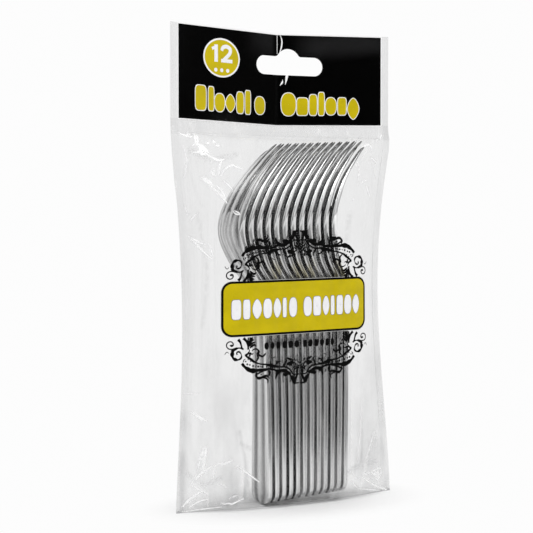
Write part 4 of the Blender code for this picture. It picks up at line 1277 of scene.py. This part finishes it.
class FORKPACK_OT_label(bpy.types.Operator):
    """Build the yellow label with its outline, its row of plain shapes and the small ones below it"""

    bl_idname = "forkpack.label"
    bl_label = "Yellow label"

    def execute(self, context):
        settings = context.scene.fork_pack_print
        yellow = ink_finish("label_ink", settings.yellow, 0.08)
        white = ink_finish("label_white_ink", settings.white, 0.02)
        black = ink_finish("label_black_ink", settings.black, 0.3, 0.5, 0.03)
        grey = ink_finish("label_grey_ink", (0.18, 0.18, 0.24), 0.1)
        pale = ink_finish("label_halo_ink", (0.62, 0.62, 0.60), 0.1)
        width, height = settings.label_width, settings.label_height
        layers = (
            ("label_halo", pale, 0.0006, 0.03, ()),
            ("label_outline", black, 0.0004, 0.11, ()),
            ("label_plate", yellow, -0.0007, 0.20, ("label_field",)),
        )
        for name, finish, grow, layer, replaced in layers:
            plate = Drawing(tilted=True)
            plate.plate(LABEL_MIDDLE, width + 2 * grow, height + 2 * grow, LABEL_CORNER + grow, layer)
            plate.make(name, finish, replaced)
        rows = (("label_shape_outlines", grey, LABEL_OUTLINE, 0.27), ("label_shapes", white, 0.0, 0.34))
        for name, finish, grow, layer in rows:
            shapes = Drawing(tilted=True)
            shapes.shapes(LABEL_SHAPES, grow, layer)
            shapes.make(name, finish)
        small = Drawing(tilted=True)
        small.shapes(SMALL_SHAPES, 0.0, 0.03, 3, 24)
        small.make("small_black_shapes", black)
        return {"FINISHED"}


class FORKPACK_OT_scroll(bpy.types.Operator):
    """Build the black scrollwork above and below the label"""

    bl_idname = "forkpack.scroll"
    bl_label = "Scrollwork"

    def execute(self, context):
        settings = context.scene.fork_pack_print
        black = ink_finish("scroll_ink", settings.black, 0.3, 0.5, 0.03)
        for name, up in (("scroll_upper", 1), ("scroll_lower", -1)):
            drawing = Drawing(tilted=True)
            for side in (-1, 1):
                self.quarter(drawing, side, up)
            drawing.make(name, black)
        return {"FINISHED"}

    def quarter(self, drawing, side, up):
        def turned(x, z):
            return SCROLL_MIDDLE[0] - side * x, SCROLL_MIDDLE[1] + up * z

        layer = SCROLL_LAYER
        for points, widths, ruffle in SCROLL_STROKES:
            drawing.stroke_mm([turned(x, z) for x, z in points], widths, layer, ruffle)
            layer += SCROLL_LAYER_STEP
        for x, z, radius in SCROLL_PEARLS:
            drawing.block([part * MM for part in turned(x, z)], radius * MM, radius * MM, ROUND, layer, 3, 14)
            layer += SCROLL_LAYER_STEP


def pitch_at(height):
    return curve_through(PITCH_KNOTS, height)


def spine(height):
    """Side view of a fork's back."""
    return curve_through(SPINE_KNOTS, height)


def fork_half_width(height):
    if height < HANDLE_CORNER:
        rest = 1 - height / HANDLE_CORNER
        return WIDTH_KNOTS[0][1] - HANDLE_CORNER * (1 - math.sqrt(max(0.0, 1 - rest * rest)))
    return curve_through(WIDTH_KNOTS, height)


def fork_point(place, height, side, depth):
    """A point of a fork from its height, its place across as metres and its depth from the spine."""
    stack = FIRST_FORK_PLACE + place * pitch_at(height) + spine(height) + depth
    return (stack, side, FILM + CLEARANCE + place * FORK_RISE + height)


class FORKPACK_OT_forks(bpy.types.Operator):
    """Build the twelve silvered forks"""

    bl_idname = "forkpack.forks"
    bl_label = "Silvered forks"

    def execute(self, context):
        finish = silver_finish("silvered_plastic", context.scene.fork_pack_forks)
        for place in range(FORK_COUNT):
            self.fork(place, finish)
        return {"FINISHED"}

    def fork(self, place, finish):
        points, faces, painted_shade = [], [], []
        self.body(place, points, faces, painted_shade)
        for tine in range(TINE_COUNT):
            self.tine(place, tine, points, faces, painted_shade)
        name = f"fork_{place + 1:02d}"
        piece = add_piece("silver_" + name, points, faces, finish, (name,), {"painted_shade": painted_shade})
        smoothing = piece.modifiers.new("Smoothing", "SUBSURF")
        smoothing.levels = smoothing.render_levels = 1

    def heights(self):
        """Heights of a fork's sections, closest together round the end of the handle."""
        turn = np.linspace(0.12, np.pi / 2, 7)
        corner = HANDLE_CORNER * (1 - np.cos(turn))
        handle = np.linspace(HANDLE_CORNER, STRAIGHT_HANDLE, 9)[1:]
        neck = np.linspace(STRAIGHT_HANDLE, TINE_ROOT, 21)[1:]
        return np.concatenate([[0.00002], corner, handle, neck])

    def body(self, place, points, faces, painted_shade):
        """The handle and head: one section after another, closed at both ends."""
        rows = 0
        last = len(HANDLE_SECTION) - 1
        for height in self.heights():
            head = float(smooth_step((height - NECK_HEIGHT) / (BOWL_HEIGHT - NECK_HEIGHT)))
            wide = fork_half_width(height)
            full = math.sqrt(min(1.0, height / 0.0016))
            open_end = float(smooth_step((height - 0.012) / 0.024))
            into_tines = float(smooth_step((height - TINE_ROOT + TINE_OVERLAP) / TINE_OVERLAP))
            ring = []
            for low, high in zip(HANDLE_SECTION, HEAD_SECTION):
                share, depth, dark = (mix(first, second, head) for first, second in zip(low, high))
                # Painted shade on each fork's back where it lies behind the fork before it
                if place and depth < mix(0.4, 0.0, head):
                    dark = max(dark, float(smooth_step((0.965 - share) / 0.06)))
                depth = mix(mix(1.2, depth, full), 1.0, 0.16 * into_tines)
                side = share * wide - 0.0007 * into_tines * (share > 0.8)
                # More painted shade on the first fork's back in its head
                if not place and share < 0.9:
                    dark = min(1.0, dark * mix(1.0, 1.5, head))
                if place == FORK_COUNT - 1:
                    dark = dark * LAST_FORK_DARK
                # More painted shade towards the tines, and less near the handle's end
                dark = dark + (1 - dark) * 0.3 * float(smooth_step((height - 0.139) / 0.012))
                ring.append((side, depth * MM, dark * mix(0.9 if share < 0.97 else 0.3, 1.0, open_end)))
            for side, depth, dark in ring:
                points.append(fork_point(place, height, side, depth))
                painted_shade.append(dark)
            for index in range(last, 0, -1):
                side, depth, dark = ring[index]
                points.append(fork_point(place, height, -side, depth))
                painted_shade.append(dark)
            rows += 1
        columns = 2 * last + 1
        faces += grid_faces(rows, columns, closed=True)
        faces.append(tuple(range(columns))[::-1])
        faces.append(tuple(range((rows - 1) * columns, rows * columns)))

    def tine(self, place, tine, points, faces, painted_shade):
        """One tine, from inside the head to its rounded tip."""
        outer = tine in (0, TINE_COUNT - 1)
        share = (2 - (TINE_COUNT - 1) * SLOT_SHARE) / TINE_COUNT
        middle = -1 + share / 2 + tine * (share + SLOT_SHARE)
        top = FORK_LENGTH - (OUTER_TINE_SHORTER if outer else 0.0)
        first, rows = len(points), 0
        for step in np.linspace(0, 1, TINE_STEPS):
            height = mix(TINE_ROOT - TINE_OVERLAP, top, math.sin(step * math.pi / 2) * 0.4 + step * 0.6)
            along = max(0.0, (height - TINE_ROOT) / (top - TINE_ROOT))
            below = 1 - float(smooth_step((height - TINE_ROOT + TINE_OVERLAP) / 0.014))
            centre = middle * fork_half_width(height)
            half = mix(share * 0.0125, 0.0021, along ** 2) / 2 * (1 - 0.25 * below)
            wall = mix(3.3 if outer else 2.2, 1.3, along ** 1.3) * MM * (1 - 0.15 * below)
            back = -HEAD_DISH * (1 - middle ** 2) + 0.0004 * below
            # Painted shade on the tips and on the slot side of the tines' upper half
            tip_dark = 0.9 * float(smooth_step((along - 0.86) / 0.1))
            slot_dark = 0.7 * float(smooth_step((along - 0.5) / 0.2))
            # Painted shade below and above a bright band across the tines
            dull = 0.34 * float(smooth_step((0.164 - height) / 0.007))
            dull += 0.36 * float(smooth_step((height - 0.169) / 0.009))
            close = math.sqrt(max(0.12, 1 - max(0.0, (step - 0.93) / 0.07) ** 2))
            for across, deep, dark in TINE_SECTION:
                side = centre * (1 - 0.015 * deep) + across * half * close
                points.append(fork_point(place, height, side, back + (0.5 + (deep - 0.5) * close) * wall))
                # Painted shade along the first fork's outer tine edges
                edge = 0.6 * (place == 0 and abs(across) > 0.9 and deep < 0.5)
                # The section's painted shade, less on the last fork; the darkest shade counts, and the band's
                # shade is laid over it
                stack_shade = dark * (LAST_FORK_DARK if place == FORK_COUNT - 1 else 1.0)
                darkest_shade = max(stack_shade, tip_dark, edge, slot_dark * (deep > 0.5))
                painted_shade.append(darkest_shade + (1 - darkest_shade) * dull)
            rows += 1
        columns = len(TINE_SECTION)
        faces += grid_faces(rows, columns, first, closed=True)
        faces.append(tuple(range(first, first + columns))[::-1])
        faces.append(tuple(range(first + (rows - 1) * columns, first + rows * columns)))


class FORKPACK_OT_stage(bpy.types.Operator):
    """Set up the floor, the backdrop, the soft lamps and the camera"""

    bl_idname = "forkpack.stage"
    bl_label = "Stage"

    def execute(self, context):
        settings = context.scene.fork_pack_stage
        context.scene.view_settings.view_transform = "Standard"
        self.floor(settings)
        self.world(context, settings)
        for name, place, size, power in (
            ("key_lamp", (-0.72, -0.55, 1.0), 0.5, settings.key_power),
            ("fill_lamp", (1.15, -0.95, 0.45), 1.3, settings.fill_power),
            ("glint_lamp", (0.60, -1.08, 0.53), 0.17, settings.glint_power),
            ("top_lamp", (-0.1, -0.15, 1.3), 0.9, settings.top_power),
        ):
            self.lamp(name, place, size, power)
        self.camera(context, settings)
        return {"FINISHED"}

    def floor(self, settings):
        """A round floor that keeps the soft shadow near the pack and turns into the backdrop further out."""
        turn = np.linspace(0, 2 * np.pi, STAGE_SIDES, endpoint=False)
        points = [
            (radius * math.cos(angle), radius * math.sin(angle), STAGE_LEVEL)
            for radius in STAGE_RINGS for angle in turn
        ]
        mesh = bpy.data.meshes.new("floor")
        mesh.from_pydata(points, [], grid_faces(len(STAGE_RINGS), STAGE_SIDES, closed=True))
        paper = Finish(bpy.data.materials.new("white_floor"))
        place = paper.place()
        near_round = paper.stretch(place, (0.6, 1.0, 1.0))
        away = paper.node("ShaderNodeVectorMath", {"operation": "LENGTH"}, {0: near_round}, output="Value")
        camera, gloss, through = paper.rays("Is Camera Ray", "Is Glossy Ray", "Is Transmission Ray")
        light = camera.highest(gloss).highest(through)
        grain = paper.noise(place, 400.0, 3.0)
        near = paper.principled({
            "Base Color": solid_colour(settings.floor),
            "Roughness": 0.8,
            "Specular IOR Level": 0.1,
            "Normal": paper.bump(grain, 0.05, 0.0005),
        })
        dim = 1 - paper.toward_front(place).within(0.15, 0.28) * STUDIO_DIM
        strength = camera * settings.backdrop + (1 - camera) * dim * settings.backdrop
        far = paper.node("ShaderNodeEmission", {}, {"Color": WHITE, "Strength": strength})
        share = (camera * away.within(0.016, 0.052) + (1 - camera) * away.within(0.02, 0.07)) * light
        mesh.materials.append(paper.show(paper.node("ShaderNodeMixShader", {}, {0: share, 1: near, 2: far})))
        floor = bpy.data.objects.new("floor", mesh)
        bpy.context.scene.collection.objects.link(floor)

    def world(self, context, settings):
        world = bpy.data.worlds.new("studio")
        context.scene.world = world
        studio = Finish(world)
        camera, gloss = studio.rays("Is Camera Ray", "Is Glossy Ray")
        way = studio.node("ShaderNodeTexCoord", output="Generated")
        _, _, rise = studio.parts(way)
        dim = 1 - studio.toward_front(way).within(0.45, 0.80) * (1 - rise.within(0.06, 0.18)) * STUDIO_DIM
        strength = camera * settings.backdrop + (1 - camera) * (gloss * dim + (1 - gloss) * settings.ambient)
        studio.show(
            studio.node("ShaderNodeBackground", {}, {"Color": WHITE, "Strength": strength}),
            "ShaderNodeOutputWorld",
        )

    def lamp(self, name, place, size, power):
        light = bpy.data.lights.new(name, "AREA")
        light.shape = "DISK"
        light.size = size
        light.energy = power
        lamp = bpy.data.objects.new(name, light)
        bpy.context.scene.collection.objects.link(lamp)
        lamp.location = place
        lamp.rotation_euler = (Vector(LAMP_TARGET) - Vector(place)).to_track_quat("-Z", "Y").to_euler()

    def camera(self, context, settings):
        azimuth, elevation = settings.camera_azimuth, settings.camera_elevation
        level = math.cos(elevation)
        back = Vector((math.sin(azimuth) * level, -math.cos(azimuth) * level, math.sin(elevation)))
        view = bpy.data.cameras.new("camera")
        view.lens = settings.camera_lens
        view.sensor_width = SENSOR_WIDTH
        view.clip_start = 0.01
        camera = bpy.data.objects.new("camera", view)
        context.scene.collection.objects.link(camera)
        camera.location = Vector(CAMERA_TARGET) + settings.camera_distance * back
        camera.rotation_euler = (-back).to_track_quat("-Z", "Y").to_euler()
        context.scene.camera = camera


OPERATORS = (
    FORKPACK_OT_film,
    FORKPACK_OT_header,
    FORKPACK_OT_header_print,
    FORKPACK_OT_label,
    FORKPACK_OT_scroll,
    FORKPACK_OT_forks,
    FORKPACK_OT_stage,
)
SETTINGS = {
    "fork_pack_bag": ForkPackBag,
    "fork_pack_print": ForkPackPrint,
    "fork_pack_forks": ForkPackForks,
    "fork_pack_stage": ForkPackStage,
}


class FORKPACK_PT_panel(bpy.types.Panel):
    """Lists the steps that build the pack's looks"""

    bl_label = "Fork Pack"
    bl_idname = "FORKPACK_PT_panel"
    bl_space_type = "VIEW_3D"
    bl_region_type = "UI"
    bl_category = "Fork Pack"

    def draw(self, context):
        for operator in OPERATORS:
            self.layout.operator(operator.bl_idname)


def register():
    for made in (*SETTINGS.values(), *OPERATORS, FORKPACK_PT_panel):
        bpy.utils.register_class(made)
    for label, group in SETTINGS.items():
        setattr(bpy.types.Scene, label, bpy.props.PointerProperty(type=group))


def unregister():
    for label in SETTINGS:
        delattr(bpy.types.Scene, label)
    for made in reversed((*SETTINGS.values(), *OPERATORS, FORKPACK_PT_panel)):
        bpy.utils.unregister_class(made)


def main():
    register()
    bpy.ops.forkpack.film()
    bpy.ops.forkpack.header()
    bpy.ops.forkpack.header_print()
    bpy.ops.forkpack.label()
    bpy.ops.forkpack.scroll()
    bpy.ops.forkpack.forks()
    bpy.ops.forkpack.stage()


if __name__ == "__main__":
    main()
